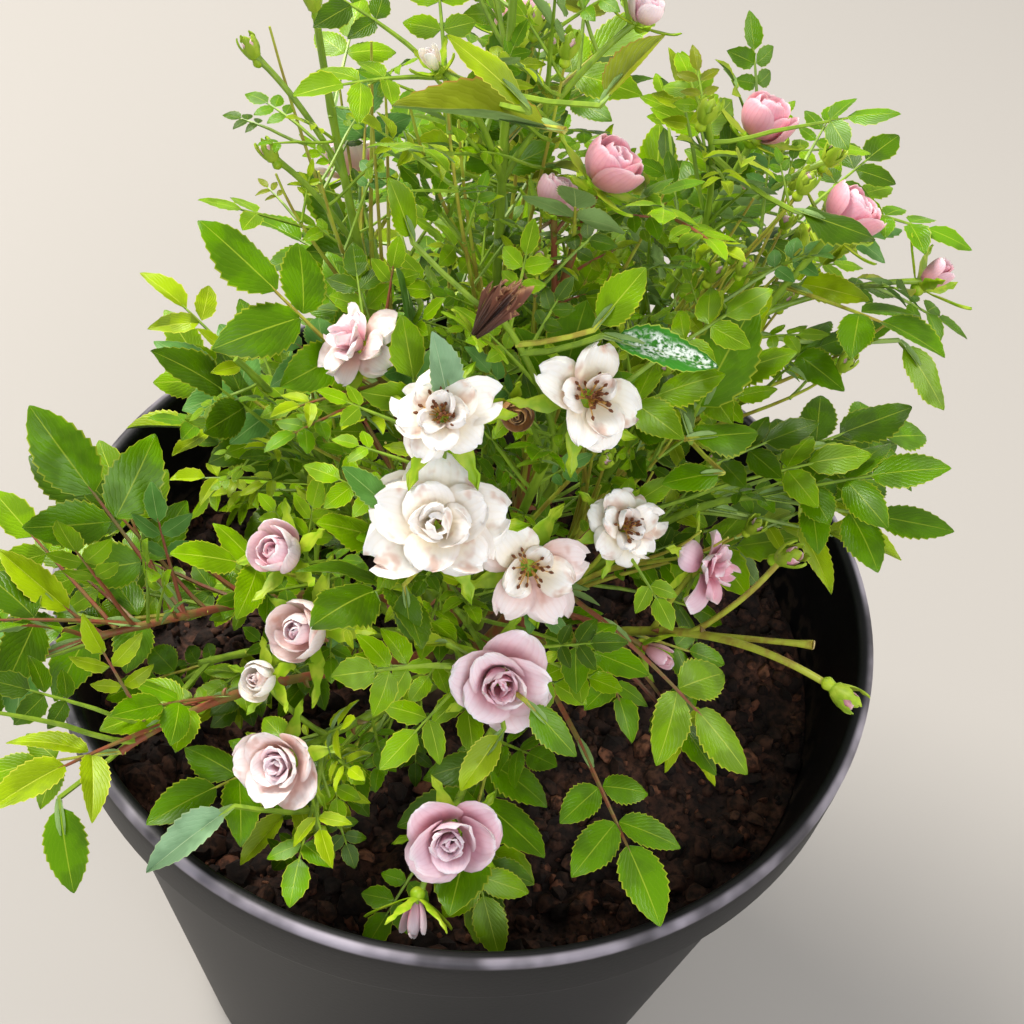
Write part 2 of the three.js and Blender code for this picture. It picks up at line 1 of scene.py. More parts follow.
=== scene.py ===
"""The looks of a miniature rose bush in bloom, growing in its round black plastic pot.

The bush is grown by the same seeded rule as its solids, and finer twigs and smaller leaves then
fill the same space. Lengths are millimetres until a mesh is written, which is in metres.
"""

import logging
import math
from dataclasses import dataclass, field
from enum import Enum
from functools import lru_cache
from typing import Callable, Iterable, Optional

import bpy
import numpy as np
from mathutils import Matrix, Vector
from numpy.linalg import norm


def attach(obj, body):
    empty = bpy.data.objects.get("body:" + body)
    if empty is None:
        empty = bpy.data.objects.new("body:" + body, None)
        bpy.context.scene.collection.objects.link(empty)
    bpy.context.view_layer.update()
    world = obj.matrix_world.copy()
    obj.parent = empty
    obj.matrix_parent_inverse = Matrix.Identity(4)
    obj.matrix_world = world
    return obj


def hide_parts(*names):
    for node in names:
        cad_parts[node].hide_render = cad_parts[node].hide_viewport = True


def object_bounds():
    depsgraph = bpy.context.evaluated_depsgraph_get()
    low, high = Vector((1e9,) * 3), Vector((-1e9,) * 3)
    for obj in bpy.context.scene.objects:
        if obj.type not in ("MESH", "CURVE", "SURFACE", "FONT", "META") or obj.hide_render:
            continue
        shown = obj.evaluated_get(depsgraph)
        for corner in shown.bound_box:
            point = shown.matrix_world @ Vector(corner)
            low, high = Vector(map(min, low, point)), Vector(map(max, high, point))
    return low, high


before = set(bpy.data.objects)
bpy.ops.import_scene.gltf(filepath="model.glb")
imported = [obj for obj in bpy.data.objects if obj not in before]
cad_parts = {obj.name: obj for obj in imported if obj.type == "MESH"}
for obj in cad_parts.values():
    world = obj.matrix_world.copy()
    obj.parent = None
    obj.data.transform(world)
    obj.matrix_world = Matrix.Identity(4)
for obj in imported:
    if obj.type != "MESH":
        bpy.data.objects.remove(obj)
CAD_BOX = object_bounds()

Array = np.ndarray
Draws = np.random.Generator
Node, Socket = bpy.types.Node, bpy.types.NodeSocket
Inputs = dict[str | int, object]
Pair = tuple[float, float]
Triple = tuple[float, float, float]

LOG = logging.getLogger("rose_bush")
MM = 0.001
TINY = 1e-12
UPRIGHT_SINE = 0.05
UP = np.array([0.0, 0.0, 1.0])
BODY = "root"
REACH_LOW, REACH_HIGH = (np.array(corner) / MM for corner in CAD_BOX)


# Small helpers on arrays of points.


def unit(vectors: Array) -> Array:
    """Vectors over their own lengths."""
    return vectors / np.maximum(norm(vectors, axis=-1, keepdims=True), TINY)


def mix(low: float, high: float, share: float | Array) -> float | Array:
    """The value at a share of the way from low to high."""
    return low + (high - low) * share


def square_to(directions: Array) -> Array:
    """A unit direction square to each one: its cross product with +Z, or +X where it is upright."""
    side = np.cross(directions, UP)
    upright = norm(side, axis=-1, keepdims=True) < UPRIGHT_SINE
    return np.where(upright, np.array([1.0, 0.0, 0.0]), unit(side))


def turned_about(vectors: Array, axis: Array, angles: Array) -> Array:
    """Vectors square to an axis, turned about it: v cos(a) + (axis x v) sin(a)."""
    return vectors * np.cos(angles)[..., None] + np.cross(axis, vectors) * np.sin(angles)[..., None]


def seeded(seed: int) -> Callable[[], float]:
    """The source's own stream of numbers, by 32-bit products and shifts.

    Args:
        seed: Any whole number.

    Returns:
        A function whose calls give numbers from 0 up to 1, the same ones for the same seed.
    """
    mask = 0xFFFFFFFF
    state = seed & mask

    def draw() -> float:
        """The next number."""
        nonlocal state
        state = (state + 0x6D2B79F5) & mask
        mixed = ((state ^ (state >> 15)) * (state | 1)) & mask
        mixed ^= (mixed + (mixed ^ (mixed >> 7)) * (mixed | 61)) & mask
        return ((mixed ^ (mixed >> 14)) & mask) / (mask + 1)

    return draw


# The driving sizes and the rule's own numbers, as in the solids.


@dataclass(frozen=True)
class PotSizes:
    """The pot's outside and wall."""

    height: float = 125.0
    rim_radius: float = 75.0
    foot_radius: float = 53.0
    wall: float = 1.6
    floor: float = 2.4
    lip_proud: float = 1.4
    lip_height: float = 13.0

    def outside(self, z: float | Array) -> float | Array:
        """The radius of the tapering wall's outside at a height."""
        return mix(self.foot_radius, self.rim_radius - self.lip_proud, z / self.height)

    def inside(self, z: float | Array) -> float | Array:
        """The radius of the tapering wall's inside at a height."""
        return self.outside(z) - self.wall


POT = PotSizes()
SOIL_TOP = POT.height - 22.0
STOCK_RADIUS = 11.0
STOCK_NECK = 4.0
SEAT = 0.3
CANE_FOOT, CANE_FORK, CANE_TIP = 1.25, 0.85, 0.55
STALK_RADIUS = 0.5

# The rings of cane feet on the stock's dome: angle from upright, and how many canes.
FOOT_RINGS = ((66, 12), (43, 11), (19, 5))
# A limb's inner control points lie this share of its span, and of that, from its foot and tip.
ARM_SHARE, FOOT_ARM = 0.36, 0.6

# A leaf at scale 1: its reach, and each leaflet's place, length, width and angle.
LEAF_REACH = 43.0
LEAF_PAIRS = ((12.0, 11.5, 7.6, 72.0), (20.5, 14.5, 9.0, 60.0))
LEAF_END = (26.0, 17.0, 10.2, 0.0)
LEAF_WIDEST = 0.43
LEAF_ARCH = 0.012
SINGLE_FOOT = 2.0
RACHIS = 0.95
GOLDEN_TURN = 137.5

# What a leaf that finds no room tries next: turns, pitches, sizes.
TRY_TURNS = np.radians([0, 45, -45, 90, -90, 135, -135, 180])
TRY_PITCHES = (0, 22, -22, -44)
TRY_SCALES = (1, 0.8, 0.65, 0.5)
FINE_SCALES = (1.0, 0.72, 0.52)

# The open air kept before a blossom, and the room kept to wall, soil, blossoms and stalks.
OPEN_AIR_AHEAD, OPEN_AIR_WIDER = 35.0, 1.3
WALL_CLEAR, SOIL_CLEAR, BLOOM_CLEAR, STALK_CLEAR = 1.6, 2.5, 0.6, 1
LARGE_BLOOM = 4

# Where the finer growth starts, and how near the solids' reach its stems and leaves may come.
LOWEST_LEAF = 0.35
SIDE_STEM_CLEAR = 3.0
PROUD = 4.0


# A petal's, leaf's or stem's choice counts its finish among those of its kind.


class Opening(Enum):
    """How far a blossom has opened."""

    FULL_BLOWN, OPEN, DROOPING, CUPPED, BALL, BUD, SHUT, DRIED = range(8)


class Petal(Enum):
    """A petal's colour."""

    CREAM, BLUSH, PALE_PINK, ROSE_PINK, MAUVE, BUD_PINK, TAN, DRIED = range(8)


class Green(Enum):
    """A leaf's green."""

    # The pale silvery green stands for the sheen of reflected sky light on glossy leaflets, painted as
    # colour.
    DEEP, MID, BRIGHT, LIME, SEA, YOUNG, SILVER, POWDERED = range(8)


class Skin(Enum):
    """A stem's skin."""

    GREEN, GOLD, RED, CUT = range(4)


@dataclass(frozen=True)
class Bloom:
    """One blossom or bud: its size across, its place, and how far it nods from straight up."""

    size: float
    turn: float
    reach: float
    rise: float
    nod: float
    opening: Opening
    outer: Petal = Petal.ROSE_PINK
    inner: Petal = Petal.ROSE_PINK
    stamens: int = 0
    long_sepals: bool = False

    @property
    def radius(self) -> float:
        """Half its size across."""
        return self.size / 2

    @property
    def centre(self) -> Array:
        """Its middle."""
        return place(self.turn, self.reach, self.rise)

    @property
    def facing(self) -> Array:
        """The unit direction it faces."""
        return leaning(self.turn, self.nod)

    @property
    def seat(self) -> Array:
        """The place inside it where its stalk ends."""
        return self.centre - self.facing * self.radius * 0.35


@dataclass(frozen=True)
class Shoot:
    """One shoot: its tip's turn, reach and rise, its lean there, its bare share and its leaves.

    A long leaf is a share of the stem, a share of bare twig, and its tip's turn, reach and rise.
    fine is how thickly the finer leaves stand, against the usual.
    """

    name: str
    turn: float
    reach: float
    rise: float
    lean: float
    fork: float
    leaves: int
    blooms: tuple[Bloom, ...] = ()
    long_leaves: tuple[tuple[float, ...], ...] = ()
    leaf_end: Optional[float] = None
    bark: Skin = Skin.GREEN
    leaf_size: float = 1.0
    fine: float = 1.0
    side_stems: int = 0


@dataclass(frozen=True)
class LeafInView:
    """A leaflet that stands out in front: its foot and tip as (turn, reach, rise), and its green."""

    foot: Triple
    tip: Triple
    tint: Green


def place(turn: float, reach: float, rise: float) -> Array:
    """The point at a turn and reach from the pot's axis, a rise above the rim."""
    angle = math.radians(turn)
    return np.array([reach * math.cos(angle), reach * math.sin(angle), POT.height + rise])


def leaning(turn: float, lean: float) -> Array:
    """The unit direction that leans away from upright towards a turn."""
    angle, out = math.radians(turn), math.sin(math.radians(lean))
    return np.array([out * math.cos(angle), out * math.sin(angle), math.cos(math.radians(lean))])


def _shoots() -> tuple[Shoot, ...]:
    """The shoots, in the source's order, with each blossom's opening and colour."""
    o, p = Opening, Petal
    return (
        Shoot("cream_truss", -97, 38, 60, 30, 0.4, 4, (
            Bloom(19, -97, 38, 60, 38, o.FULL_BLOWN, p.CREAM, p.CREAM, 8),
            Bloom(15.5, -101, 32, 76, 30, o.DROOPING, p.CREAM, p.CREAM, 34),
            Bloom(16, -73, 33, 46, 48, o.OPEN, p.BLUSH, p.CREAM, 20),
            Bloom(16, -80, 45, 33, 52, o.CUPPED, p.PALE_PINK, p.ROSE_PINK)), fine=2.2),
        Shoot("cream_single", -57, 26, 74, 22, 0.45, 3, (
            Bloom(16, -57, 26, 74, 36, o.OPEN, p.CREAM, p.CREAM, 40),
            Bloom(8, -92, 18, 84, 30, o.DRIED, p.DRIED, p.DRIED),
            Bloom(5, -79, 21, 67, 70, o.BALL, p.TAN, p.TAN)), fine=1.8, side_stems=1),
        Shoot("blown_front", -47, 34, 51, 40, 0.4, 3, (
            Bloom(12, -47, 34, 51, 40, o.DROOPING, p.CREAM, p.CREAM, 30),
            Bloom(6.5, -35, 40, 18, 85, o.BUD, p.ROSE_PINK, p.BUD_PINK)),
            long_leaves=((0.1, 0.45, -60, 76, 8),), bark=Skin.RED, fine=0.3),
        Shoot("bud_arm", -33, 71, 36, 88, 0.4, 1, (
            Bloom(6, -33, 71, 36, 95, o.SHUT, p.BUD_PINK, p.BUD_PINK),
            Bloom(6, -23, 53, 45, 40, o.SHUT, p.BUD_PINK, p.BUD_PINK),
            Bloom(13, -25, 43, 36, 75, o.DROOPING, p.MAUVE, p.ROSE_PINK)),
            leaf_end=0.1, bark=Skin.GOLD, fine=0.0),
        Shoot("low_front", -86, 57, 6, 70, 0.4, 3, (
            Bloom(15, -86, 57, 6, 50, o.CUPPED, p.MAUVE, p.MAUVE),
            Bloom(7, -90, 65, -4, 120, o.BUD, p.PALE_PINK, p.BUD_PINK, long_sepals=True)),
            long_leaves=((0.25, 0, -66, 46, 10),), fine=0.1),
        Shoot("pale_front_left", -116, 57, 12, 65, 0.4, 4, (
            Bloom(14, -116, 57, 12, 50, o.CUPPED, p.BLUSH, p.PALE_PINK),
            Bloom(5, -107, 60, 0, 110, o.BUD, p.ROSE_PINK, p.BUD_PINK),
            Bloom(7, -126, 51, 20, 50, o.BALL, p.CREAM, p.BLUSH)),
            long_leaves=((0.3, 0.25, -126, 75, 5),), fine=1.4),
        Shoot("front_low_leaves", -103, 34, 12, 60, 0.3, 4, fine=0.4),
        Shoot("left_low", -146, 52, 4, 80, 0.3, 5, fine=1.5),
        Shoot("left_buds", -137, 41, 36, 40, 0.45, 4, (
            Bloom(9, -137, 41, 36, 40, o.BALL, p.PALE_PINK, p.ROSE_PINK),
            Bloom(9.5, -124, 44, 28, 50, o.BALL, p.BLUSH, p.PALE_PINK, long_sepals=True)), fine=1.6),
        Shoot("left_arch", -131, 74, 16, 95, 0.4, 5, bark=Skin.RED),
        Shoot("left_reach", -150, 70, 14, 88, 0.4, 5,
              long_leaves=((0.6, 0, -171, 74, 42),), bark=Skin.RED),
        Shoot("left_middle", -178, 42, 50, 45, 0.4, 5, fine=1.4, side_stems=2),
        Shoot("left_pink", -156, 24, 66, 25, 0.4, 3, (
            Bloom(14, -156, 24, 66, 45, o.DROOPING, p.BLUSH, p.PALE_PINK),),
            long_leaves=((0.7, 0, 175, 49, 74),), bark=Skin.RED, side_stems=2),
        Shoot("back_left_buds", 146, 42, 101, 12, 0.45, 3, (
            Bloom(4.5, 146, 42, 101, 20, o.SHUT),
            Bloom(4.5, 152, 50, 91, 35, o.SHUT),
            Bloom(4.5, 158, 43, 78, 40, o.SHUT)), leaf_size=0.6, fine=0.1, side_stems=7),
        Shoot("crown_top", 115, 13, 126, 5, 0.45, 5, (
            Bloom(5, 115, 13, 126, 10, o.SHUT),
            Bloom(6, 55, 24, 111, 25, o.BALL, p.PALE_PINK, p.ROSE_PINK),
            Bloom(4.5, -170, 14, 112, 25, o.BUD, p.CREAM, p.BLUSH)),
            leaf_size=0.75, fine=0.3, side_stems=6),
        Shoot("centre_pink", 20, 13, 95, 15, 0.45, 4, (
            Bloom(9.5, 20, 13, 95, 30, o.BALL, p.BUD_PINK, p.ROSE_PINK),
            Bloom(7, 42, 7, 88, 30, o.BALL, p.ROSE_PINK, p.ROSE_PINK)),
            bark=Skin.RED, leaf_size=0.85, fine=0.7, side_stems=6),
        Shoot("back_right_pink", 39, 45, 90, 20, 0.45, 4, (
            Bloom(9, 39, 45, 90, 25, o.BALL, p.BUD_PINK, p.BUD_PINK),
            Bloom(5, 34, 30, 97, 15, o.SHUT),
            Bloom(5, 32, 55, 84, 30, o.SHUT)), leaf_size=0.75, fine=0.35, side_stems=8),
        Shoot("right_pink", 24, 56, 79, 30, 0.45, 4, (
            Bloom(9.5, 24, 56, 79, 40, o.BALL, p.BUD_PINK, p.ROSE_PINK),
            Bloom(7, 20, 72, 67, 45, o.BUD, p.ROSE_PINK, p.BUD_PINK, long_sepals=True)),
            leaf_size=0.8, fine=0.15, side_stems=9),
        Shoot("right_reach", -8, 45, 42, 65, 0.4, 5,
              long_leaves=((1, 0, -8, 76, 46),), fine=0.5, side_stems=5),
        Shoot("right_middle", -4, 30, 60, 35, 0.4, 5, fine=0.7, side_stems=7),
        Shoot("back_tall", 96, 52, 86, 30, 0.4, 4, (
            Bloom(9, 96, 52, 86, 35, o.BALL, p.ROSE_PINK, p.BUD_PINK),
            Bloom(5, 84, 58, 76, 40, o.SHUT)), leaf_size=0.75, fine=0.5, side_stems=4),
        Shoot("back_left", 120, 68, 46, 50, 0.4, 5, (
            Bloom(14, 120, 68, 46, 55, o.CUPPED, p.PALE_PINK, p.ROSE_PINK),), leaf_size=0.85, fine=0.5),
        Shoot("back_right", 58, 68, 58, 45, 0.4, 4, (
            Bloom(14, 58, 68, 58, 50, o.CUPPED, p.PALE_PINK, p.MAUVE),),
            leaf_size=0.9, fine=0.5, side_stems=4),
        Shoot("left_back", 172, 42, 22, 70, 0.4, 4, leaf_size=0.85, fine=0.7),
        Shoot("right_low", 16, 56, 32, 70, 0.4, 4, fine=0.3),
        Shoot("back_low", 82, 78, 30, 75, 0.4, 4, (
            Bloom(13, 82, 78, 30, 65, o.CUPPED, p.BLUSH, p.PALE_PINK),)),
        Shoot("back_left_low", 111, 72, 26, 75, 0.4, 4),
        Shoot("back_left_arch", 148, 56, 4, 95, 0.4, 4, leaf_size=0.85),
    )


SHOOTS = _shoots()
MASSES = [f"mass_{shoot.name}" for shoot in SHOOTS]
LEAVES_IN_VIEW = tuple(LeafInView(*row) for row in (
    ((-48, 24, 82), (-31, 36, 80), Green.POWDERED),
    ((-21, 33, 66), (-15, 36, 84), Green.MID),
    ((-29, 34, 64), (-23, 27, 71), Green.DEEP),
    ((-29, 35, 64), (-15, 43, 62), Green.MID),
    ((-24, 39, 56), (-37, 34, 58), Green.MID),
    ((-52, 22, 84), (-35, 23, 92), Green.BRIGHT),
    ((-79, 13, 112), (-135, 25, 116), Green.YOUNG),
    ((-54, 16, 118), (-28, 17, 126), Green.YOUNG),
    ((-93, 17, 118), (-123, 19, 126), Green.LIME),
    ((-153, 71, 18), (-159, 80, 26), Green.LIME),
    ((-133, 84, 6), (-126, 90, 0), Green.MID),
    ((12, 42, 88), (9, 53, 86), Green.DEEP),
    # Painted sheen of reflected sky light on this leaflet.
    ((-101, 29, 75.5), (-108, 28.5, 88), Green.SILVER),
    ((-108, 38, 60), (-119, 39, 65), Green.SEA),
    ((-100, 45, 52), (-97, 48, 45), Green.DEEP),
    ((-92, 42, 38), (-97, 46.5, 42), Green.LIME),
    ((-75, 50, 34), (-68, 56, 28), Green.MID),
    ((-80, 51, 28), (-86, 58, 22), Green.LIME),
    # Painted sheen of reflected sky light on this leaflet.
    ((-119, 66, 6), (-122, 80, 3), Green.SILVER),
    ((-134, 20, 92), (-143, 22, 101), Green.BRIGHT),
    ((17, 69, 55), (11, 77, 48), Green.BRIGHT),
))


# The rule that grows the bush.


@dataclass(frozen=True)
class Curve:
    """A Bezier curve through its end points, or the stretch of one between two shares of it."""

    points: Array
    start: float = 0.0
    end: float = 1.0

    def at(self, share: float | Array) -> Array:
        """The points at shares of the stretch, by repeated mixing of neighbouring control points."""
        t = (self.start + (self.end - self.start) * np.asarray(share, float))[..., None]
        layer = list(self.points)
        while len(layer) > 1:
            layer = [a * (1 - t) + b * t for a, b in zip(layer, layer[1:])]
        return layer[0]

    def heading(self, share: float | Array) -> Array:
        """The unit directions at shares, from a small step to either side."""
        share = np.asarray(share, float)
        return unit(self.at(np.minimum(share + 1e-4, 1)) - self.at(np.maximum(share - 1e-4, 0)))

    def length(self) -> float:
        """Its length, over 200 chords."""
        return float(norm(np.diff(self.at(np.linspace(0, 1, 201)), axis=0), axis=1).sum())


@dataclass
class Spray:
    """One compound leaf: its root, its axes (across, along, face), its twig's bare length and base."""

    root: Array
    axes: Array
    scale: float
    curl: float
    leaflets: int
    bare: float
    base: Array
    tint: Optional[Green] = None

    def bent(self, x: Array, y: Array, lift: float = 0.0) -> Array:
        """The places of flat points, x across and y along at scale 1, on the curling leaf."""
        return bent(self.root[None], self.axes[None], np.array([[self.scale]]), self.curl, x, y, lift)[0]


def bent(root: Array, axes: Array, scale: Array, curl: Array | float,
         x: Array, y: Array, lift: Array | float = 0.0) -> Array:
    """Flat leaf points bent down by curl (y / reach)^2 reach + arch x^2, for many leaves at once.

    Args:
        root: The leaves' roots, (K, 3).
        axes: Their across, along and face directions, (K, 3, 3).
        scale: Their scales, (K, 1).
        curl: How far their tips curl down, a number or (K, 1).
        x: Places across, at scale 1.
        y: Places along, at scale 1.
        lift: Heights above the leaf, in millimetres.

    Returns:
        The points, (K, N, 3).
    """
    drop = curl * (np.maximum(0, y) / LEAF_REACH) ** 2 * LEAF_REACH + LEAF_ARCH * x * x
    high = lift - drop * scale
    local = np.stack(np.broadcast_arrays(x * scale, y * scale, high), -1)
    return root[:, None, :] + local @ axes


def leaf_axes(along: Array, heading: Array) -> Array:
    """The axes of leaves: their faces look up and a little along the limb.

    Args:
        along: The way each leaf runs, (..., 3).
        heading: The limb's direction, (3,).

    Returns:
        The across, along and face directions, (..., 3, 3).
    """
    face = UP + 0.5 * heading
    face = face - along * np.sum(face * along, -1, keepdims=True)
    flat = norm(face, axis=-1, keepdims=True) < 0.1
    face = unit(np.where(flat, square_to(along), face))
    return np.stack([np.cross(along, face), along, face], -2)


def leaflet_rows(leaflets: int) -> list[tuple[float, float, float, float, int]]:
    """The leaflets of a leaf of one, three or five.

    Args:
        leaflets: How many there are.

    Returns:
        Their (place, length, width, angle, side), the end one last.
    """
    if leaflets == 1:
        return [(SINGLE_FOOT, *LEAF_END[1:], 1)]
    pairs = LEAF_PAIRS if leaflets == 5 else LEAF_PAIRS[1:]
    rows = [(*pair, side) for pair in pairs for side in (-1, 1)]
    return [*rows, (*LEAF_END, 1)]


@lru_cache(maxsize=None)
def probes_of(leaflets: int) -> tuple[Array, Array]:
    """The flat points of a leaf that are tested for room: seven a leaflet and one on the rachis.

    Args:
        leaflets: How many leaflets it has.

    Returns:
        Their places across and along, at scale 1.
    """
    w = LEAF_WIDEST
    marks = np.array([[0.2, 0], [w, -0.5], [w, 0], [w, 0.5], [0.75, -0.28], [0.75, 0.28], [1, 0]])
    points = [np.array([[0.0, 16.0]])]
    for at, length, width, angle, side in leaflet_rows(leaflets):
        out_x, out_y = math.sin(math.radians(angle)), math.cos(math.radians(angle))
        x = out_x * marks[:, 0] * length - out_y * marks[:, 1] * width
        y = at + out_y * marks[:, 0] * length + out_x * marks[:, 1] * width
        points.append(np.stack([x * side, y], -1))
    flat = np.concatenate(points)
    return flat[:, 0], flat[:, 1]


@dataclass(frozen=True)
class Room:
    """The room a leaf asks for.

    mass is how much nearer its own mass must be than any other, limb and leaf the room kept to
    every cane and to leaves that stand already, and spread how fast the air before a blossom widens.
    """

    mass: float
    limb: float
    leaf: float
    spread: float = 0.0


LARGE_ROOM = Room(0.9, 2.2, 2.2)
FINE_ROOM = Room(0.3, 1.0, 1.5, 0.45)


@dataclass
class Grown:
    """A shoot's grown limb, stalks, leaves and the points its space lies round."""

    shoot: Shoot
    whole: Curve
    stem: Curve
    stalks: list[Curve]
    sprays: list[Spray] = field(default_factory=list)
    fine: list[Spray] = field(default_factory=list)
    side_stems: list[Curve] = field(default_factory=list)
    placed: Array = field(default_factory=lambda: np.empty((0, 3)))


class RoseBush:
    """The bush, grown by the source's rule and then by a finer one in the same space."""

    def __init__(self) -> None:
        """Grows the limbs, then the source's leaves."""
        feet = self._feet()
        self.grown = [self._limb(shoot, feet[i]) for i, shoot in enumerate(SHOOTS)]
        sites = [self._sites(g) for g in self.grown]
        self.site_points = np.concatenate([points for points, _ in sites])
        self.site_radii = np.concatenate([radii for _, radii in sites])
        self.site_starts = np.cumsum([0] + [len(points) for points, _ in sites[:-1]])
        self.blooms = [bloom for g in self.grown for bloom in g.shoot.blooms]
        large = [bloom for bloom in self.blooms if bloom.radius > LARGE_BLOOM]
        self.faces = [np.array([getattr(b, part) for b in large]) for part in ("centre", "facing", "radius")]
        shares = np.linspace(0, 1, 15)
        canes = [Curve(g.whole.points, 0, g.shoot.fork) for g in self.grown]
        self.cane_points = np.concatenate([cane.at(shares) for cane in canes])
        self.cane_radii = np.tile(mix(CANE_FOOT, CANE_FORK, shares), len(canes))
        for index in range(len(self.grown)):
            self._leaves(index)
        for leaf in LEAVES_IN_VIEW:
            self._leaf_in_view(leaf)

    def _leaf_in_view(self, leaf: LeafInView) -> None:
        """Hangs a leaflet on a twig from the nearest limb or stalk, where each mm higher counts double.

        Args:
            leaf: Its foot, its tip and its green.
        """
        foot, tip = place(*leaf.foot), place(*leaf.tip)
        shares = np.linspace(0.2, 0.95, 26)
        owners = [g for g in self.grown for _ in range(1 + len(g.stalks))]
        limbs = np.array([limb.at(shares) for g in self.grown for limb in (g.whole, *g.stalks)])
        gaps = norm(limbs - foot, axis=-1) + 2 * np.maximum(0, limbs[..., 2] - foot[2])
        index, step = np.unravel_index(np.argmin(gaps), gaps.shape)
        g, base = owners[index], limbs[index, step]
        along, scale = unit(tip - foot), float(norm(tip - foot)) / LEAF_END[1]
        root = foot - along * SINGLE_FOOT * scale
        axes = leaf_axes(along, g.whole.heading(shares[step]))
        spray = Spray(root, axes, scale, 0.0, 1, float(norm(root - base)), base, leaf.tint)
        g.sprays.append(spray)
        g.placed = np.concatenate([g.placed, spray.bent(*probes_of(1))])

    @staticmethod
    def _feet() -> dict[int, Array]:
        """Deals the canes' feet round the stock's dome in three rings, far reachers lowest.

        Returns:
            The direction of each shoot's foot, by its number.
        """
        by_reach = sorted(range(len(SHOOTS)), key=lambda i: -SHOOTS[i].reach / (SHOOTS[i].rise + 25))
        feet = {}
        for polar, count in FOOT_RINGS:
            ring = sorted(by_reach[:count], key=lambda i: SHOOTS[i].turn)
            by_reach = by_reach[count:]
            step = 360 / len(ring)
            drift = sum(SHOOTS[shoot].turn - i * step for i, shoot in enumerate(ring)) / len(ring)
            feet.update({shoot: leaning(drift + i * step, polar) for i, shoot in enumerate(ring)})
        return feet

    @staticmethod
    def _limb(shoot: Shoot, foot: Array) -> Grown:
        """A shoot's limb, one cubic curve from the stock to its tip, and its bloom stalks.

        Each stalk parts from the stem short of the point nearest to its bloom, and ends inside it.

        Args:
            shoot: The shoot.
            foot: The direction of its foot on the stock's dome.

        Returns:
            The shoot without its leaves.
        """
        start = np.array([0, 0, SOIL_TOP + SEAT + STOCK_NECK]) + foot * (STOCK_RADIUS + SEAT)
        tip = shoot.blooms[0].seat if shoot.blooms else place(shoot.turn, shoot.reach, shoot.rise)
        arm = float(norm(tip - start)) * ARM_SHARE
        bend = tip - leaning(shoot.turn, shoot.lean) * arm
        whole = Curve(np.array([start, start + foot * arm * FOOT_ARM, bend, tip]))
        stem = Curve(whole.points, shoot.fork + SEAT / whole.length(), 1)
        shares = np.linspace(0, 1, 21)
        grown = Grown(shoot, whole, stem, [])
        for bloom in shoot.blooms[1:]:
            end = bloom.seat
            gaps = norm(stem.at(shares) - end, axis=1)
            at = min(0.85, max(0.08, shares[int(np.argmin(gaps))] - 0.3))
            root = stem.at(at)
            rising = root + stem.heading(at) * gaps[int(math.floor(at * 20 + 0.5))] * 0.45
            behind = end - bloom.facing * bloom.radius * 1.2
            grown.stalks.append(Curve(np.array([root, (rising + behind) / 2, end])))
        return grown

    def _sites(self, g: Grown) -> tuple[Array, Array]:
        """What a mass is grown round, and sets its long leaves.

        Args:
            g: The shoot.

        Returns:
            Points on its stem, stalks, blooms and long leaves, and a radius for each.
        """
        shares = np.linspace(0, 1, 11)
        parts = [(g.stem.at(shares), 1.0)]
        parts += [(stalk.at(shares[1:]), 1.0) for stalk in g.stalks]
        parts += [(bloom.centre[None], bloom.radius) for bloom in g.shoot.blooms]
        for share, bare, turn, reach, rise in g.shoot.long_leaves:
            base, tip = g.stem.at(share), place(turn, reach, rise)
            root = base + (tip - base) * bare
            along, scale = unit(tip - root), float(norm(tip - root)) / LEAF_REACH
            axes = leaf_axes(along, g.stem.heading(share))
            g.sprays.append(Spray(root, axes, scale, 0.0, 5, float(norm(root - base)), base, Green.MID))
        for leaf in g.sprays:
            twig = np.arange(0, leaf.bare / leaf.scale, 5.0)
            blade = np.array([8.0, 14, 20, 26, 32, 38, 42])
            parts += [(leaf.bent(twig * 0, -twig), 1.0), (leaf.bent(blade * 0, blade), 4.0)]
        points = np.concatenate([p for p, _ in parts])
        return points, np.concatenate([np.full(len(p), r) for p, r in parts])

    def _free(self, points: Array, index: int, room: Room) -> Array:
        """Which tries of a leaf have room.

        Args:
            points: The probes of each try, (K, N, 3).
            index: The leaf's own mass.
            room: The room that it asks for.

        Returns:
            True for each try that is clear of everything, (K,).
        """
        flat = points.reshape(-1, 3)
        g = self.grown[index]
        gaps = distances(flat, self.site_points) - self.site_radii
        nearest = np.minimum.reduceat(gaps, self.site_starts, axis=1)
        own = nearest[:, index].copy()
        nearest[:, index] = np.inf
        free = nearest.min(axis=1) > own + room.mass
        radius = np.hypot(flat[:, 0], flat[:, 1])
        z = flat[:, 2]
        in_wall = (radius > POT.inside(z) - WALL_CLEAR) & (radius < POT.rim_radius + WALL_CLEAR)
        in_soil = (radius < POT.rim_radius) & (z < SOIL_TOP + SOIL_CLEAR)
        free &= ~in_soil & ((z > POT.height + WALL_CLEAR) | ~in_wall)
        centres, facings, radii = self.faces
        out = flat[:, None] - centres
        ahead = np.sum(out * facings, -1)
        aside = norm(out - facings * ahead[..., None], axis=-1)
        kept = radii * OPEN_AIR_WIDER + room.spread * ahead
        free &= np.all((ahead < 0) | (ahead > OPEN_AIR_AHEAD) | (aside > kept), axis=1)
        for bloom in g.shoot.blooms:
            free &= norm(flat - bloom.centre, axis=1) > bloom.radius + BLOOM_CLEAR
        for stalk in g.stalks:
            free &= distances(flat, stalk.at(np.array([0.3, 0.5, 0.7, 0.9]))).min(axis=1) > STALK_CLEAR
        free &= np.all(distances(flat, self.cane_points) - self.cane_radii > room.limb, axis=1)
        if len(g.placed):
            free &= distances(flat, g.placed).min(axis=1) >= room.leaf
        if room is FINE_ROOM:
            free &= np.all((flat > REACH_LOW - PROUD) & (flat < REACH_HIGH + PROUD), axis=1)
        return free.reshape(points.shape[:2]).all(axis=1)

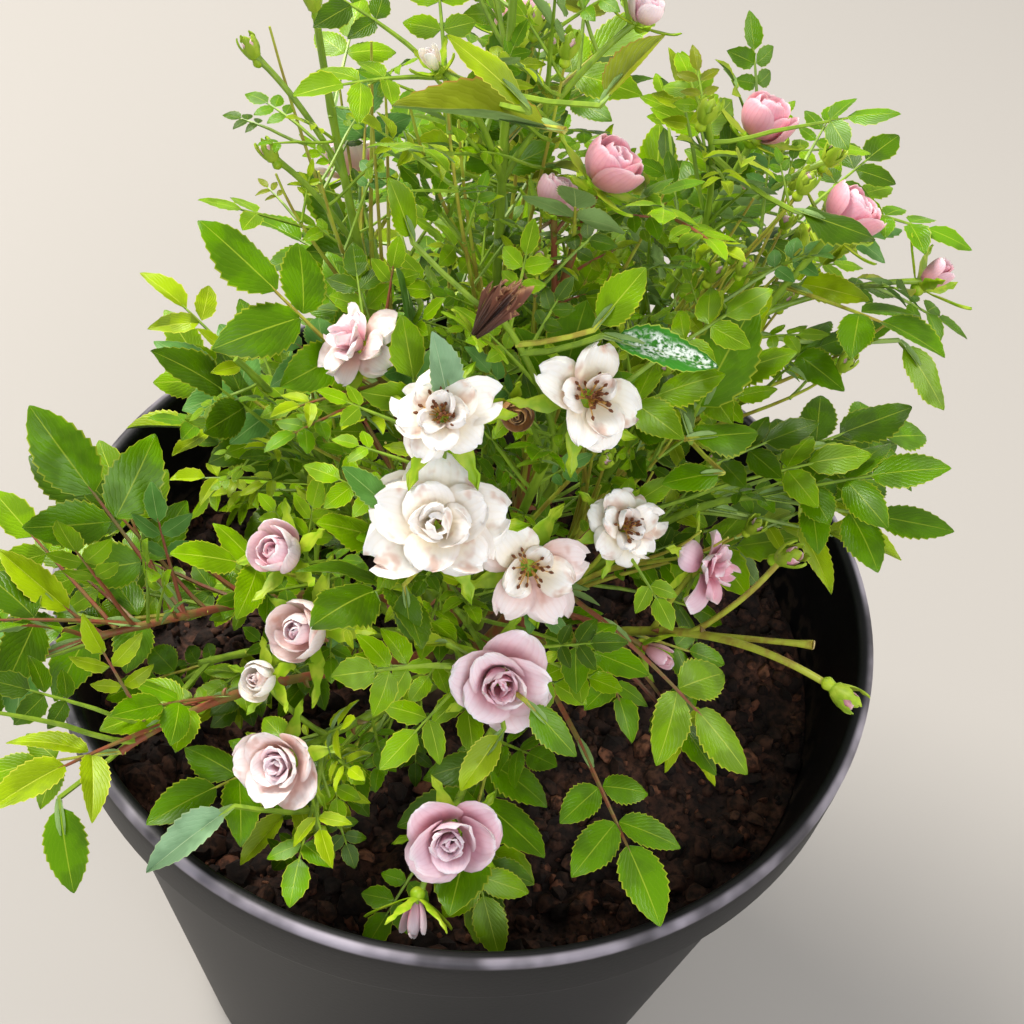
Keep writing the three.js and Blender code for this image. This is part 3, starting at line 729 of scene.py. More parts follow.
    def _leaves(self, index: int) -> None:
        """The source's leaves: a golden turn apart round the stem, each where it first finds room.

        Args:
            index: The shoot's number.
        """
        g = self.grown[index]
        shoot, stem = g.shoot, g.stem
        random = seeded(101 + index * 17)
        if g.sprays:
            g.placed = np.concatenate([leaf.bent(*probes_of(leaf.leaflets)) for leaf in g.sprays])
        last = shoot.leaf_end if shoot.leaf_end is not None else (0.75 if shoot.blooms else 1)
        turn = random() * 360
        for i in range(shoot.leaves):
            turn += GOLDEN_TURN
            at = mix(0.05, last, i / max(1, shoot.leaves - 1))
            pitch = mix(70, 55 if shoot.blooms else 10, at) + (random() - 0.5) * 20
            size = shoot.leaf_size * mix(1.0, 0.8, at) * mix(0.88, 1.08, random())
            curl = mix(0.02, 0.22, random())
            leaflets = 3 if (shoot.blooms and at > 0.45) or i % 2 == 1 else 5
            twig = mix(7, 12, random()) * (i % 3 == 1 and at < 0.9)
            tries = [(smaller, 3 if smaller < 0.7 else leaflets, pitch + more)
                     for smaller in TRY_SCALES for more in TRY_PITCHES]
            self._settle(index, stem, at, turn, tries, size, curl, twig, LARGE_ROOM)

    def _settle(self, index: int, limb: Curve, at: float, turn: float, tries: list[tuple[float, int, float]],
                size: float, curl: float, twig: float, room: Room) -> None:
        """Places a leaf at the first of its tries that has room, or leaves it out.

        It leaves its limb along h cos(pitch) + a sin(pitch) + 0.12 up, with h the limb's heading
        and a square to it at the leaf's turn.

        Args:
            index: The shoot's number.
            limb: The limb that it springs from.
            at: Its share of the limb.
            turn: Its turn round the limb, in degrees.
            tries: The shares of its size, leaflets and pitches, in their order.
            size: Its full scale.
            curl: How far it curls down.
            twig: Its bare twig's full length.
            room: The room that it asks for.
        """
        g, base, heading = self.grown[index], limb.at(at), limb.heading(at)
        around = turned_about(square_to(heading)[None], heading, math.radians(turn) + TRY_TURNS)
        for smaller, leaflets, pitch in tries:
            scale, bare, lean = size * smaller, twig * smaller, math.radians(pitch)
            along = unit(heading * math.cos(lean) + around * math.sin(lean) + UP * 0.12)
            roots, axes = base + along * bare, leaf_axes(along, heading)
            probes = bent(roots, axes, np.array([[scale]]), curl, *probes_of(leaflets))
            free = self._free(probes, index, room)
            if free.any():
                k = int(np.argmax(free))
                grown = g.fine if room is FINE_ROOM else g.sprays
                grown.append(Spray(roots[k], axes[k], scale, curl, leaflets, bare, base))
                g.placed = np.concatenate([g.placed, probes[k]])
                return

    def grow_finer(self, per_mm: float, seed: int) -> None:
        """Fills each mass's own space with smaller leaves on finer twigs, along its stem and stalks.

        Both are smaller where the shoot's own leaves are.

        Args:
            per_mm: Leaves tried for each millimetre of stem and stalk.
            seed: The seed of every draw.
        """
        rng = np.random.default_rng(seed)
        for index, g in enumerate(self.grown):
            shrink = g.shoot.leaf_size
            for limb in [Curve(g.whole.points, g.shoot.fork * LOWEST_LEAF, 1), *g.stalks, *g.side_stems]:
                for at in rng.uniform(0.03, 0.97, round(limb.length() * per_mm * g.shoot.fine)):
                    turn, pitch = rng.uniform(0, 360), rng.uniform(35, 85)
                    size, twig, curl = rng.uniform(0.4, 0.8), rng.uniform(2, 15), rng.uniform(0.0, 0.2)
                    leaflets = 5 if rng.random() < 0.75 else 3
                    tries = [(smaller, leaflets, pitch) for smaller in FINE_SCALES]
                    size, twig = size * shrink**2, twig * shrink
                    self._settle(index, limb, float(at), turn, tries, size, curl, twig, FINE_ROOM)

    def grow_side_stems(self, seed: int) -> None:
        """Adds thin stems that part low from their cane, run beside it, and often end in a small bud.

        Args:
            seed: The seed of every draw.
        """
        rng = np.random.default_rng(seed)
        for g in self.grown:
            for _ in range(g.shoot.side_stems):
                at, far = rng.uniform(0.2, 0.5), rng.uniform(0.8, 1.0)
                root, heading = g.whole.at(at), g.whole.heading(at)
                beside = turned_about(square_to(heading)[None], heading, rng.uniform(0, 2 * math.pi, 1))[0]
                end = g.whole.at(far) + beside * rng.uniform(6, 17)
                end = np.clip(end, REACH_LOW + SIDE_STEM_CLEAR, REACH_HIGH - SIDE_STEM_CLEAR)
                way, arm = unit(end - root + UP * 20), float(norm(end - root)) * 0.38
                g.side_stems.append(Curve(np.array([root, root + heading * arm, end - way * arm, end])))
                if rng.random() < 0.45:
                    turn, reach = math.degrees(math.atan2(end[1], end[0])), math.hypot(end[0], end[1])
                    size, nod = rng.uniform(3.4, 5.0), rng.uniform(5, 30)
                    self.blooms.append(Bloom(size, turn, reach, end[2] - POT.height, nod, Opening.SHUT))


def distances(points: Array, others: Array) -> Array:
    """The distance from each point to each other point, from |p|^2 + |q|^2 - 2 p.q."""
    squares = (points**2).sum(1)[:, None] + (others**2).sum(1) - 2 * points @ others.T
    return np.sqrt(np.maximum(squares, 0))


# Surfaces from arrays.


@dataclass
class Surface:
    """A shape as points, quads and triangles, with a place on the blade and a finish for each."""

    points: Array
    quads: Array = field(default_factory=lambda: np.empty((0, 4), int))
    tris: Array = field(default_factory=lambda: np.empty((0, 3), int))
    uv: Optional[Array] = None
    quad_finish: Optional[Array] = None
    tri_finish: Optional[Array] = None


def joined(parts: list[Surface]) -> Surface:
    """Several surfaces as one, each one's corners counted on from the last.

    Args:
        parts: The surfaces, each with a map and its finishes.

    Returns:
        The one surface.
    """
    starts = np.cumsum([0] + [len(part.points) for part in parts[:-1]])
    dressing = ("uv", "quad_finish", "tri_finish")
    return Surface(
        np.concatenate([part.points for part in parts]),
        np.concatenate([part.quads + start for part, start in zip(parts, starts)]),
        np.concatenate([part.tris + start for part, start in zip(parts, starts)]),
        *(np.concatenate([getattr(part, name) for part in parts]) for name in dressing),
    )


def ring_quads(grid: Array) -> Array:
    """The quads between neighbouring closed rings, from the numbers of their points."""
    turn = np.roll(grid, -1, axis=1)
    return np.stack([part.ravel() for part in (grid[:-1], turn[:-1], turn[1:], grid[1:])], -1)


@lru_cache(maxsize=None)
def blade_faces(rows: int, cols: int) -> tuple[Array, Array]:
    """The quads of a closed thin blade: its upper grid, and an under one that shares its rim.

    Both start at the same corner, so that both are split along the same diagonal.

    Args:
        rows: The grid's points along.
        cols: The grid's points across.

    Returns:
        The upper quads and the under ones, both facing outwards.
    """
    upper = np.arange(rows * cols).reshape(rows, cols)
    under = upper.copy()
    inner = rows * cols + np.arange((rows - 2) * (cols - 2)).reshape(rows - 2, cols - 2)
    under[1:-1, 1:-1] = inner

    def quads(grid: Array) -> Array:
        """The quads between a grid's neighbouring points."""
        corners = (grid[:-1, :-1], grid[1:, :-1], grid[1:, 1:], grid[:-1, 1:])
        return np.stack([corner.ravel() for corner in corners], -1)

    return quads(upper), quads(under)[:, [0, 3, 2, 1]]


def blades(middle: Array, thick: float | Array, upper: Array, under: Array) -> Surface:
    """Many closed thin blades from the grids of their middle surfaces.

    Each inner point is lifted half the thickness to either side along the grid's normal, the
    cross product of its steps along and across, and the rim's points are shared.

    Args:
        middle: The grids, (K, rows, cols, 3), rows along and columns across.
        thick: The thickness, one number or (K,).
        upper: The finish of each upper side, (K,).
        under: The finish of each under side, (K,).

    Returns:
        The blades, with uv (across, along) from 0 to 1.
    """
    count, rows, cols = middle.shape[:3]
    normal = unit(np.cross(np.gradient(middle, axis=1), np.gradient(middle, axis=2)))
    half = np.broadcast_to(np.asarray(thick, float) / 2, (count,))[:, None, None, None] * normal
    top = middle.copy()
    top[:, 1:-1, 1:-1] += half[:, 1:-1, 1:-1]
    low = (middle - half)[:, 1:-1, 1:-1]
    across, along = np.meshgrid(np.linspace(0, 1, cols), np.linspace(0, 1, rows))
    uv = np.stack([across, along], -1)
    uv = np.concatenate([uv.reshape(-1, 2), uv[1:-1, 1:-1].reshape(-1, 2)])
    each = rows * cols + (rows - 2) * (cols - 2)
    start = (np.arange(count) * each)[:, None, None]
    above, below = blade_faces(rows, cols)
    finish = np.repeat(np.stack([upper, under], -1), len(above), axis=1).reshape(-1)
    return Surface(
        np.concatenate([top.reshape(count, -1, 3), low.reshape(count, -1, 3)], axis=1).reshape(-1, 3),
        (np.concatenate([above, below])[None] + start).reshape(-1, 4),
        uv=np.tile(uv, (count, 1)),
        quad_finish=finish,
        tri_finish=np.empty(0, int),
    )


def rods(centres: Array, radii: Array, sides: int, finish: Array) -> Surface:
    """Many closed tapering rods along paths.

    A ring of each path point is c + r (a cos t + b sin t), where a is carried along square to
    the path, and b is the path's direction crossed with a.

    Args:
        centres: The paths, (K, N, 3).
        radii: The radius at each path point, (K, N).
        sides: The corners of a ring.
        finish: The finish of each rod, (K,).

    Returns:
        The rods, with uv (round, along).
    """
    count, steps = centres.shape[:2]
    heading = unit(np.gradient(centres, axis=1))
    across = square_to(heading[:, 0])
    rings = []
    angles = np.arange(sides) * 2 * math.pi / sides
    for step in range(steps):
        along = heading[:, step]
        across = unit(across - along * np.sum(across * along, -1, keepdims=True))
        beside = np.cross(along, across)
        ring = across[:, None] * np.cos(angles)[:, None] + beside[:, None] * np.sin(angles)[:, None]
        rings.append(centres[:, step, None] + ring * radii[:, step, None, None])
    points = np.stack(rings, 1).reshape(-1, 3)
    quads = ring_quads(np.arange(steps * sides).reshape(steps, sides))
    fan = np.arange(1, sides - 1)
    foot = np.stack([fan * 0, fan + 1, fan], -1)
    tip = np.stack([fan * 0, fan, fan + 1], -1) + (steps - 1) * sides
    start = (np.arange(count) * steps * sides)[:, None, None]
    u, v = np.meshgrid(np.arange(sides) / sides, np.linspace(0, 1, steps))
    return Surface(
        points,
        (quads[None] + start).reshape(-1, 4),
        (np.concatenate([foot, tip])[None] + start).reshape(-1, 3),
        np.tile(np.stack([u, v], -1).reshape(-1, 2), (count, 1)),
        np.repeat(finish, len(quads)),
        np.repeat(finish, len(foot) + len(tip)),
    )


def lathed(profile: Array, sides: int) -> Surface:
    """A closed shape turned about +Z: each point is (r cos t, r sin t, z).

    Args:
        profile: The (radius, height) pairs of its section, which start and end on the axis, (N, 2).
        sides: The corners of a ring.

    Returns:
        The shape.
    """
    rings = profile[1:-1]
    angles = np.arange(sides) * 2 * math.pi / sides
    x = rings[:, :1] * np.cos(angles)
    y = rings[:, :1] * np.sin(angles)
    z = np.broadcast_to(rings[:, 1:], x.shape)
    poles = [[0, 0, profile[0, 1]], [0, 0, profile[-1, 1]]]
    points = np.concatenate([np.stack([x, y, z], -1).reshape(-1, 3), poles])
    grid = np.arange(len(rings) * sides).reshape(len(rings), sides)
    turn = np.roll(grid, -1, axis=1)
    first, last = len(points) - 2, len(points) - 1
    foot = np.stack([np.full(sides, first), turn[0], grid[0]], -1)
    top = np.stack([np.full(sides, last), grid[-1], turn[-1]], -1)
    return Surface(points, ring_quads(grid), np.concatenate([foot, top]))


def waves(points: Array, longest: float, shortest: float, count: int, seed: int) -> Array:
    """Smooth noise from -1 to about 1: a sum of sine waves, each as high as the root of its length.

    Args:
        points: Places, (N, D).
        longest: The longest wave.
        shortest: The shortest wave.
        count: How many waves there are.
        seed: The seed of their directions and phases.

    Returns:
        One height a point, (N,).
    """
    rng = np.random.default_rng(seed)
    lengths = np.geomspace(longest, shortest, count)
    ways = unit(rng.normal(size=(count, points.shape[1]))) * (2 * math.pi / lengths)[:, None]
    high = np.sqrt(lengths / lengths.sum())
    total = np.zeros(len(points))
    for way, phase, tall in zip(ways, rng.uniform(0, 2 * math.pi, count), high):
        total += tall * np.sin(points @ way + phase)
    return total


# Finishes. Every colour is an sRGB hex value, turned to linear by one function.


def linear(colour: str) -> tuple[float, ...]:
    """An sRGB hex colour made linear by the sRGB standard's own curve, with a full alpha."""
    parts = [int(colour[i : i + 2], 16) / 255 for i in (1, 3, 5)]
    return (*(c / 12.92 if c <= 0.04045 else ((c + 0.055) / 1.055) ** 2.4 for c in parts), 1.0)


# Every change from one value to another is smooth.
SMOOTH = {"interpolation_type": "SMOOTHSTEP"}


def spaced(size_mm: float, detail: float = 3.0) -> Inputs:
    """The inputs that make a noise's features about a size, with some finer layers on them."""
    return {"Scale": 1 / MM / size_mm, "Detail": detail}


class Nodes:
    """A material's nodes, round its main shader."""

    def __init__(self, material: bpy.types.Material) -> None:
        """Starts from the material's own shader, and the object's own coordinates."""
        material.use_nodes = True
        self.tree = material.node_tree
        self.shader = self.tree.nodes["Principled BSDF"]
        self.coords = self.add("TexCoord", out="Object")

    def feed(self, node: Node, inputs: Inputs) -> None:
        """Links or sets a node's inputs.

        Args:
            node: The node.
            inputs: Names or numbers, each with the socket that feeds it, a value or a hex colour.
        """
        for name, value in inputs.items():
            if isinstance(value, Socket):
                self.tree.links.new(value, node.inputs[name])
            else:
                node.inputs[name].default_value = linear(value) if isinstance(value, str) else value

    def add(self, kind: str, *first: object, inputs: Optional[Inputs] = None, out: int | str = 0,
            **settings: object) -> Socket:
        """Adds a node with its settings and links.

        Args:
            kind: The node's type without the word ShaderNode, and after a space its operation.
            first: What its first inputs get, in their order.
            inputs: What its other inputs get.
            out: The output that is wanted.
            settings: The node's own properties.

        Returns:
            That output.
        """
        kind, *operation = kind.split()
        node = self.tree.nodes.new("ShaderNode" + kind)
        for value in operation:
            node.operation = value
        for name, value in settings.items():
            setattr(node, name, value)
        self.feed(node, {**dict(enumerate(first)), **(inputs or {})})
        return node.outputs[out]


@dataclass
class Look:
    """A pattern: colours laid over the ground, each by its share, a relief, and other inputs."""

    ground: str
    layers: Iterable[tuple[Socket, Socket | str]] = ()
    height: Optional[Socket] = None
    inputs: Inputs = field(default_factory=dict)


@dataclass(frozen=True)
class Finish:
    """What a surface is made of. A kind of surface adds its own pattern in dress()."""

    name: str
    colour: str
    roughness: float = 0.5
    ior: float = 1.45
    bump_mm: float = 0.1

    def build(self) -> bpy.types.Material:
        """The finish as a material, made once, with the relief that its pattern asks for."""
        made = bpy.data.materials.get(self.name)
        if made is not None:
            return made
        material = bpy.data.materials.new(self.name)
        material.diffuse_color = linear(self.colour)
        nodes = Nodes(material)
        look = self.dress(nodes)
        skin = look.ground
        for share, colour in look.layers:
            skin = nodes.add("Mix", share, inputs={6: skin, 7: colour}, out=2, data_type="RGBA")
        inputs = {"Base Color": skin, "IOR": self.ior, "Roughness": self.roughness, **look.inputs}
        if look.height is not None:
            relief = {"Height": look.height, "Strength": 1.0, "Distance": self.bump_mm * MM}
            inputs["Normal"] = nodes.add("Bump", inputs=relief)
        nodes.feed(nodes.shader, inputs)
        return material

    def dress(self, nodes: Nodes) -> Look:
        """The pattern of this kind of surface, plain unless the kind draws its own.

        Args:
            nodes: The material's nodes.

        Returns:
            Its colours, relief and other inputs.
        """
        return Look(self.colour)


@dataclass(frozen=True)
class LeafSkin(Finish):
    """Rose leaf, a smooth waxy skin over quilted veins: the midrib and margin read paler.

    Widths are shares of the leaflet's width, and the side veins are drawn wider than real ones,
    so that they show.
    """

    vein: str = "#a9bf5a"
    margin: str = "#8fae3c"
    veins: float = 8.0
    vein_slant: float = 1.1
    vein_width: float = 0.12
    vein_share: float = 0.07
    midrib: Pair = (0.004, 0.022)
    margin_width: Pair = (0.455, 0.5)
    mottle_mm: float = 5.0
    dark_value: float = 0.68
    dark_saturation: float = 1.06
    bump_mm: float = 0.02
    powder: float = 0.0
    powder_colour: str = "#dfe8e0"
    grain_mm: float = 0.6
    patch_mm: float = 5.0

    def dress(self, nodes: Nodes) -> Look:
        """Draws the midrib, side veins, margin, mottling and powder from the blade's own map."""
        add, coords = nodes.add, nodes.coords
        parts = add("SeparateXYZ", add("UVMap", uv_map="blade")).node.outputs
        aside = add("Math SUBTRACT", parts["X"], 0.5)
        aside = add("Math ABSOLUTE", aside)
        lean = add("Math MULTIPLY_ADD", aside, -self.vein_slant, parts["Y"])
        wave = add("Math MULTIPLY", lean, self.veins)
        wave = add("Math PINGPONG", wave, 0.5)
        side = add("MapRange", wave, 0.0, self.vein_width, 1.0, 0.0, **SMOOTH)
        rib = add("MapRange", aside, *self.midrib, 0.8, 0.0, **SMOOTH)
        faint = add("Math MULTIPLY", side, self.vein_share)
        lines = add("Math MAXIMUM", rib, faint)
        mottle = add("TexNoise", coords, inputs=spaced(self.mottle_mm, 2.0))
        mottle = add("MapRange", mottle, 0.38, 0.62, **SMOOTH)
        shade = {"Color": self.colour, "Value": self.dark_value, "Saturation": self.dark_saturation}
        darker = add("HueSaturation", inputs=shade)
        edge = add("MapRange", aside, *self.margin_width, 0.0, 0.8, **SMOOTH)
        layers = [(mottle, darker), (edge, self.margin), (lines, self.vein)]
        if self.powder:
            grains = add("TexNoise", coords, inputs=spaced(self.grain_mm, 6.0))
            grains = add("MapRange", grains, 0.4, 0.6, **SMOOTH)
            patch = add("TexNoise", coords, inputs=spaced(self.patch_mm))
            patch = add("MapRange", patch, 0.4, 0.56, **SMOOTH)
            dust = add("Math MULTIPLY", grains, patch)
            inside = add("MapRange", aside, 0.25, 0.42, self.powder, 0.0, **SMOOTH)
            dust = add("Math MULTIPLY", dust, inside)
            layers.append((dust, self.powder_colour))
        gloss = add("MapRange", mottle, 0.0, 1.0, self.roughness - 0.06, self.roughness + 0.08, **SMOOTH)
        height = add("MapRange", wave, 0.0, 0.3, **SMOOTH)
        return Look(self.colour, layers, height, {"Roughness": gloss})


@dataclass(frozen=True)
class PetalSkin(Finish):
    """Rose petal, soft and matt: it is deeper in the cup than at its rim, with fine veins. The cup's deep
    colour is partly painted shade in the bloom's folds, and the pale rim is partly a painted highlight.
    """

    cup: str = "#e8c27a"
    rim: str = "#f4ecdf"
    spots: str = ""
    spot_mm: float = 3.2
    veins: float = 9.0
    vein_share: float = 0.16
    glow: float = 0.3
    glow_mm: Triple = (1.2, 0.9, 0.7)
    sheen: float = 0.15

    def dress(self, nodes: Nodes) -> Look:
        """Blends cup, middle and rim along the petal, the cup partly painted fold shade and the rim partly
        painted highlight, then fine veins and bruised spots.
        """
        add = nodes.add
        parts = add("SeparateXYZ", add("UVMap", uv_map="blade")).node.outputs
        # The cup colour stands partly for shade painted into the folds, and the rim colour partly for a
        # painted highlight.
        low = add("MapRange", parts["Y"], 0.1, 0.7, **SMOOTH)
        high = add("MapRange", parts["Y"], 0.74, 0.97, **SMOOTH)
        fan = add("Math MULTIPLY", parts["X"], self.veins)
        fan = add("Math PINGPONG", fan, 0.5)
        line = add("MapRange", fan, 0.0, 0.25, self.vein_share, 0.0, **SMOOTH)
        layers = [(low, self.colour), (high, self.rim), (line, self.cup)]
        if self.spots:
            bruise = add("TexNoise", nodes.coords, inputs=spaced(self.spot_mm, 2.0))
            bruise = add("MapRange", bruise, 0.54, 0.74, 0.0, 0.75, **SMOOTH)
            layers.append((bruise, self.spots))
        radii = [depth * MM for depth in self.glow_mm]
        glow = {"Subsurface Weight": self.glow, "Subsurface Radius": radii, "Subsurface Scale": 1.0}
        return Look(self.cup, layers, line, {**glow, "Sheen Weight": self.sheen})


@dataclass(frozen=True)
class Bark(Finish):
    """Stem skin: smooth and waxy when young, rougher as it ages, with long streaks of a second colour."""

    other: str = "#5d7a2a"
    grain_mm: float = 2.0
    stretch: float = 4.0

    def dress(self, nodes: Nodes) -> Look:
        """Streaks the bark along +Z, which its limbs mostly follow, and lifts the streaks."""
        streak = nodes.add("Mapping", nodes.coords, inputs={"Scale": (1.0, 1.0, 1 / self.stretch)})
        streak = nodes.add("TexNoise", streak, inputs=spaced(self.grain_mm, 2.0))
        share = nodes.add("MapRange", streak, 0.4, 0.62, **SMOOTH)
        return Look(self.colour, [(share, self.other)], streak)


@dataclass(frozen=True)
class MouldedPlastic(Finish):
    """Black polypropylene, injection moulded: a satin skin, with a grey highlight painted along the rim's
    edge.
    """

    # The colour of the highlight painted along the rim's edge, and the size of its patches.
    rim_highlight: str = "#a29ba6"
    highlight_patch_mm: float = 16.0
    lip: Pair = (1.7, 0.9)
    lip_below: Pair = (1.8, 0.8)
    wall_skins: Pair = (1.2, 0.4)
    dust: str = "#4a3d34"
    dust_high: float = 9.0
    dust_mm: float = 3.0
    scuff: str = "#1b1a1d"
    scuff_mm: float = 1.4
    grain_mm: float = 0.7

    def dress(self, nodes: Nodes) -> Look:
        """Paints a patchy grey highlight on the rim's outer edge, scuffs the skin and soils the inside of
        the wall.
        """
        add, coords = nodes.add, nodes.coords
        high = add("SeparateXYZ", coords, out="Z")
        reach = add("VectorMath MULTIPLY", coords, (1.0, 1.0, 0.0))
        reach = add("VectorMath LENGTH", reach, out="Value")
        # Painted highlight: the rim's outer edge is greyed in patches, as where light catches it.
        lip = add("MapRange", reach, *((POT.rim_radius - inward) * MM for inward in self.lip), **SMOOTH)
        applied = add("MapRange", high, *((POT.height - below) * MM for below in self.lip_below), **SMOOTH)
        applied = add("Math MULTIPLY", applied, lip)
        patchy = add("TexNoise", coords, inputs=spaced(self.highlight_patch_mm))
        patchy = add("MapRange", patchy, 0.35, 0.62, 0.15, 1.0, **SMOOTH)
        applied = add("Math MULTIPLY", applied, patchy)
        splash = ((SOIL_TOP + more) * MM for more in (-2, self.dust_high))
        splash = add("MapRange", high, *splash, 0.55, 0.0, **SMOOTH)
        taper = (POT.rim_radius - POT.lip_proud - POT.foot_radius) / POT.height
        foot = add("Math MULTIPLY_ADD", high, -taper, reach)
        skins = ((POT.foot_radius - inward) * MM for inward in self.wall_skins)
        inside = add("MapRange", foot, *skins, 1.0, 0.0, **SMOOTH)
        grain = add("TexNoise", coords, inputs=spaced(self.dust_mm))
        grain = add("MapRange", grain, 0.45, 0.6, **SMOOTH)
        soiled = add("Math MULTIPLY", splash, grain)
        soiled = add("Math MULTIPLY", soiled, inside)
        scuffed = add("TexNoise", coords, inputs=spaced(self.scuff_mm))
        scuffed = add("MapRange", scuffed, 0.6, 0.75, 0.0, 0.35, **SMOOTH)
        layers = [(scuffed, self.scuff), (soiled, self.dust), (applied, self.rim_highlight)]
        return Look(self.colour, layers, add("TexNoise", coords, inputs=spaced(self.grain_mm, 0.0)))


@dataclass(frozen=True)
class PottingMix(Finish):
    """Damp peat and bark: matt, red-brown where it dries, with painted shade near black between the crumbs.
    """

    dry: str = "#5a3a2b"
    shadow: str = "#120b08"
    patch_mm: float = 8.0
    crumb_mm: float = 1.3

    def dress(self, nodes: Nodes) -> Look:
        """Blends damp and dry patches, paints shade between the fine crumbs, and gives a deep grainy relief.
        """
        add, coords = nodes.add, nodes.coords
        coarse = add("TexNoise", coords, inputs=spaced(self.patch_mm, 2.0))
        coarse = add("MapRange", coarse, 0.4, 0.66, **SMOOTH)
        fine = add("TexNoise", coords, inputs=spaced(self.crumb_mm, 4.0))
        # Painted shade, near black, between the fine crumbs.
        dark = add("MapRange", fine, 0.35, 0.6, 0.8, 0.0, **SMOOTH)
        return Look(self.colour, [(coarse, self.dry), (dark, self.shadow)], fine)


LEAF_FINISHES = {
    Green.DEEP: LeafSkin("leaf_deep_green", "#446700", 0.32, 1.3, vein="#86962a", margin="#8f9a26"),
    Green.MID: LeafSkin("leaf_mid_green", "#5d8b00", 0.32, 1.3, vein="#9db32f", margin="#acb52e"),
    Green.BRIGHT: LeafSkin("leaf_bright_green", "#7aa402", 0.32, 1.3, vein="#b4c640", margin="#c2c735"),
    Green.LIME: LeafSkin("leaf_lime_green", "#9ab60a", 0.34, 1.3, vein="#c6d04a", margin="#d3cf48"),
    Green.SEA: LeafSkin("leaf_sea_green", "#5f9140", 0.38, 1.3, vein="#93ae62", margin="#9db35a"),
    Green.YOUNG: LeafSkin("leaf_young_bronze", "#7f8c1c", 0.34, 1.3, vein="#a4a040", margin="#9a5f32"),
    # A pale matt green that paints the sheen of reflected sky light on glossy leaflets.
    Green.SILVER: LeafSkin("leaf_painted_sheen", "#8fb488", 0.6, 1.33, vein="#b4cba0", margin="#a9c08a"),
    Green.POWDERED: LeafSkin(
        "leaf_powdered", "#35801c", 0.6, 1.33, vein="#86a050", margin="#b5c24a", powder=1.0),
}
UNDERSIDE = LeafSkin("leaf_underside", "#94b56c", 0.6, 1.33, vein="#b3c67c", margin="#a9bd62")
NARROW_GREENS = (Green.YOUNG, Green.LIME, Green.SILVER)
FRESH_GREENS = (Green.BRIGHT, Green.LIME, Green.YOUNG)
# Each cup colour is partly painted shade of the folds, and each rim colour is partly a painted highlight.
PETAL_FINISHES = {
    Petal.CREAM: PetalSkin("petal_cream", "#fff8f1", 0.5, cup="#f1e2c6", rim="#fffcf9", spots="#d0a490"),
    Petal.BLUSH: PetalSkin("petal_blush", "#f7e4e1", 0.5, cup="#e7bcb2", rim="#fcf0ee", spots="#cf9c8c"),
    Petal.PALE_PINK: PetalSkin("petal_pale_pink", "#f7dce2", 0.5, cup="#e6abb6", rim="#fef3f4"),
    Petal.ROSE_PINK: PetalSkin("petal_rose_pink", "#f0b9c6", 0.5, cup="#da8698", rim="#fae0e6"),
    Petal.MAUVE: PetalSkin("petal_mauve", "#eecad5", 0.5, cup="#d898aa", rim="#fbebf0"),
    Petal.BUD_PINK: PetalSkin("petal_bud_pink", "#e69fae", 0.48, cup="#cf748a", rim="#f4c8d1"),
    Petal.TAN: PetalSkin("petal_tan_dry", "#ab7638", 0.6, cup="#8b5a2a", rim="#cb9f62", glow=0.0),
    Petal.DRIED: PetalSkin("petal_dried", "#71402a", 0.6, cup="#4a281b", rim="#b98a5e", glow=0.0),
}
BARK_FINISHES = {
    Skin.GREEN: Bark("bark_young_green", "#8cab2e", 0.4, bump_mm=0.05, other="#76952a"),
    Skin.GOLD: Bark("bark_golden_green", "#b4bd3f", 0.4, bump_mm=0.05, other="#a3953a"),
    Skin.RED: Bark("bark_young_red", "#8f4f36", 0.42, bump_mm=0.05, other="#7c6b34"),
    Skin.CUT: Bark("pith_cut_end", "#cdbb83", 0.7, bump_mm=0.1, other="#b09a62"),
}
OLD_BARK = Bark("bark_woody_stock", "#6d5540", 0.85, bump_mm=0.7, other="#4b3a2b", grain_mm=3.0)
SEPAL_FINISHES = (
    Bark("sepal_green", "#86ac14", 0.45, 1.35, bump_mm=0.05, other="#a6bd2c"),
    Bark("sepal_bud_green", "#a3ba34", 0.45, 1.35, bump_mm=0.05, other="#88a724"),
)
STAMEN_FINISHES = (
    Finish("filament_tan", "#c99a4e", 0.6),
    Finish("anther_brown", "#6f3f1f", 0.7),
)
PLASTIC = MouldedPlastic("moulded_black_plastic", "#09090b", 0.5, 1.38, bump_mm=0.02)
SOIL_MIX = PottingMix("potting_mix", "#2c1c15", 0.92, bump_mm=0.7)
CRUMB_FINISHES = (
    PottingMix("peat_crumb_dark", "#21150f", 0.92, bump_mm=0.4, dry="#3a251a"),
    PottingMix("peat_crumb_brown", "#43291c", 0.9, bump_mm=0.4, dry="#5d3d2c"),
    PottingMix("bark_chip_red", "#6a3f2b", 0.85, bump_mm=0.4, dry="#8a5a40"),
)


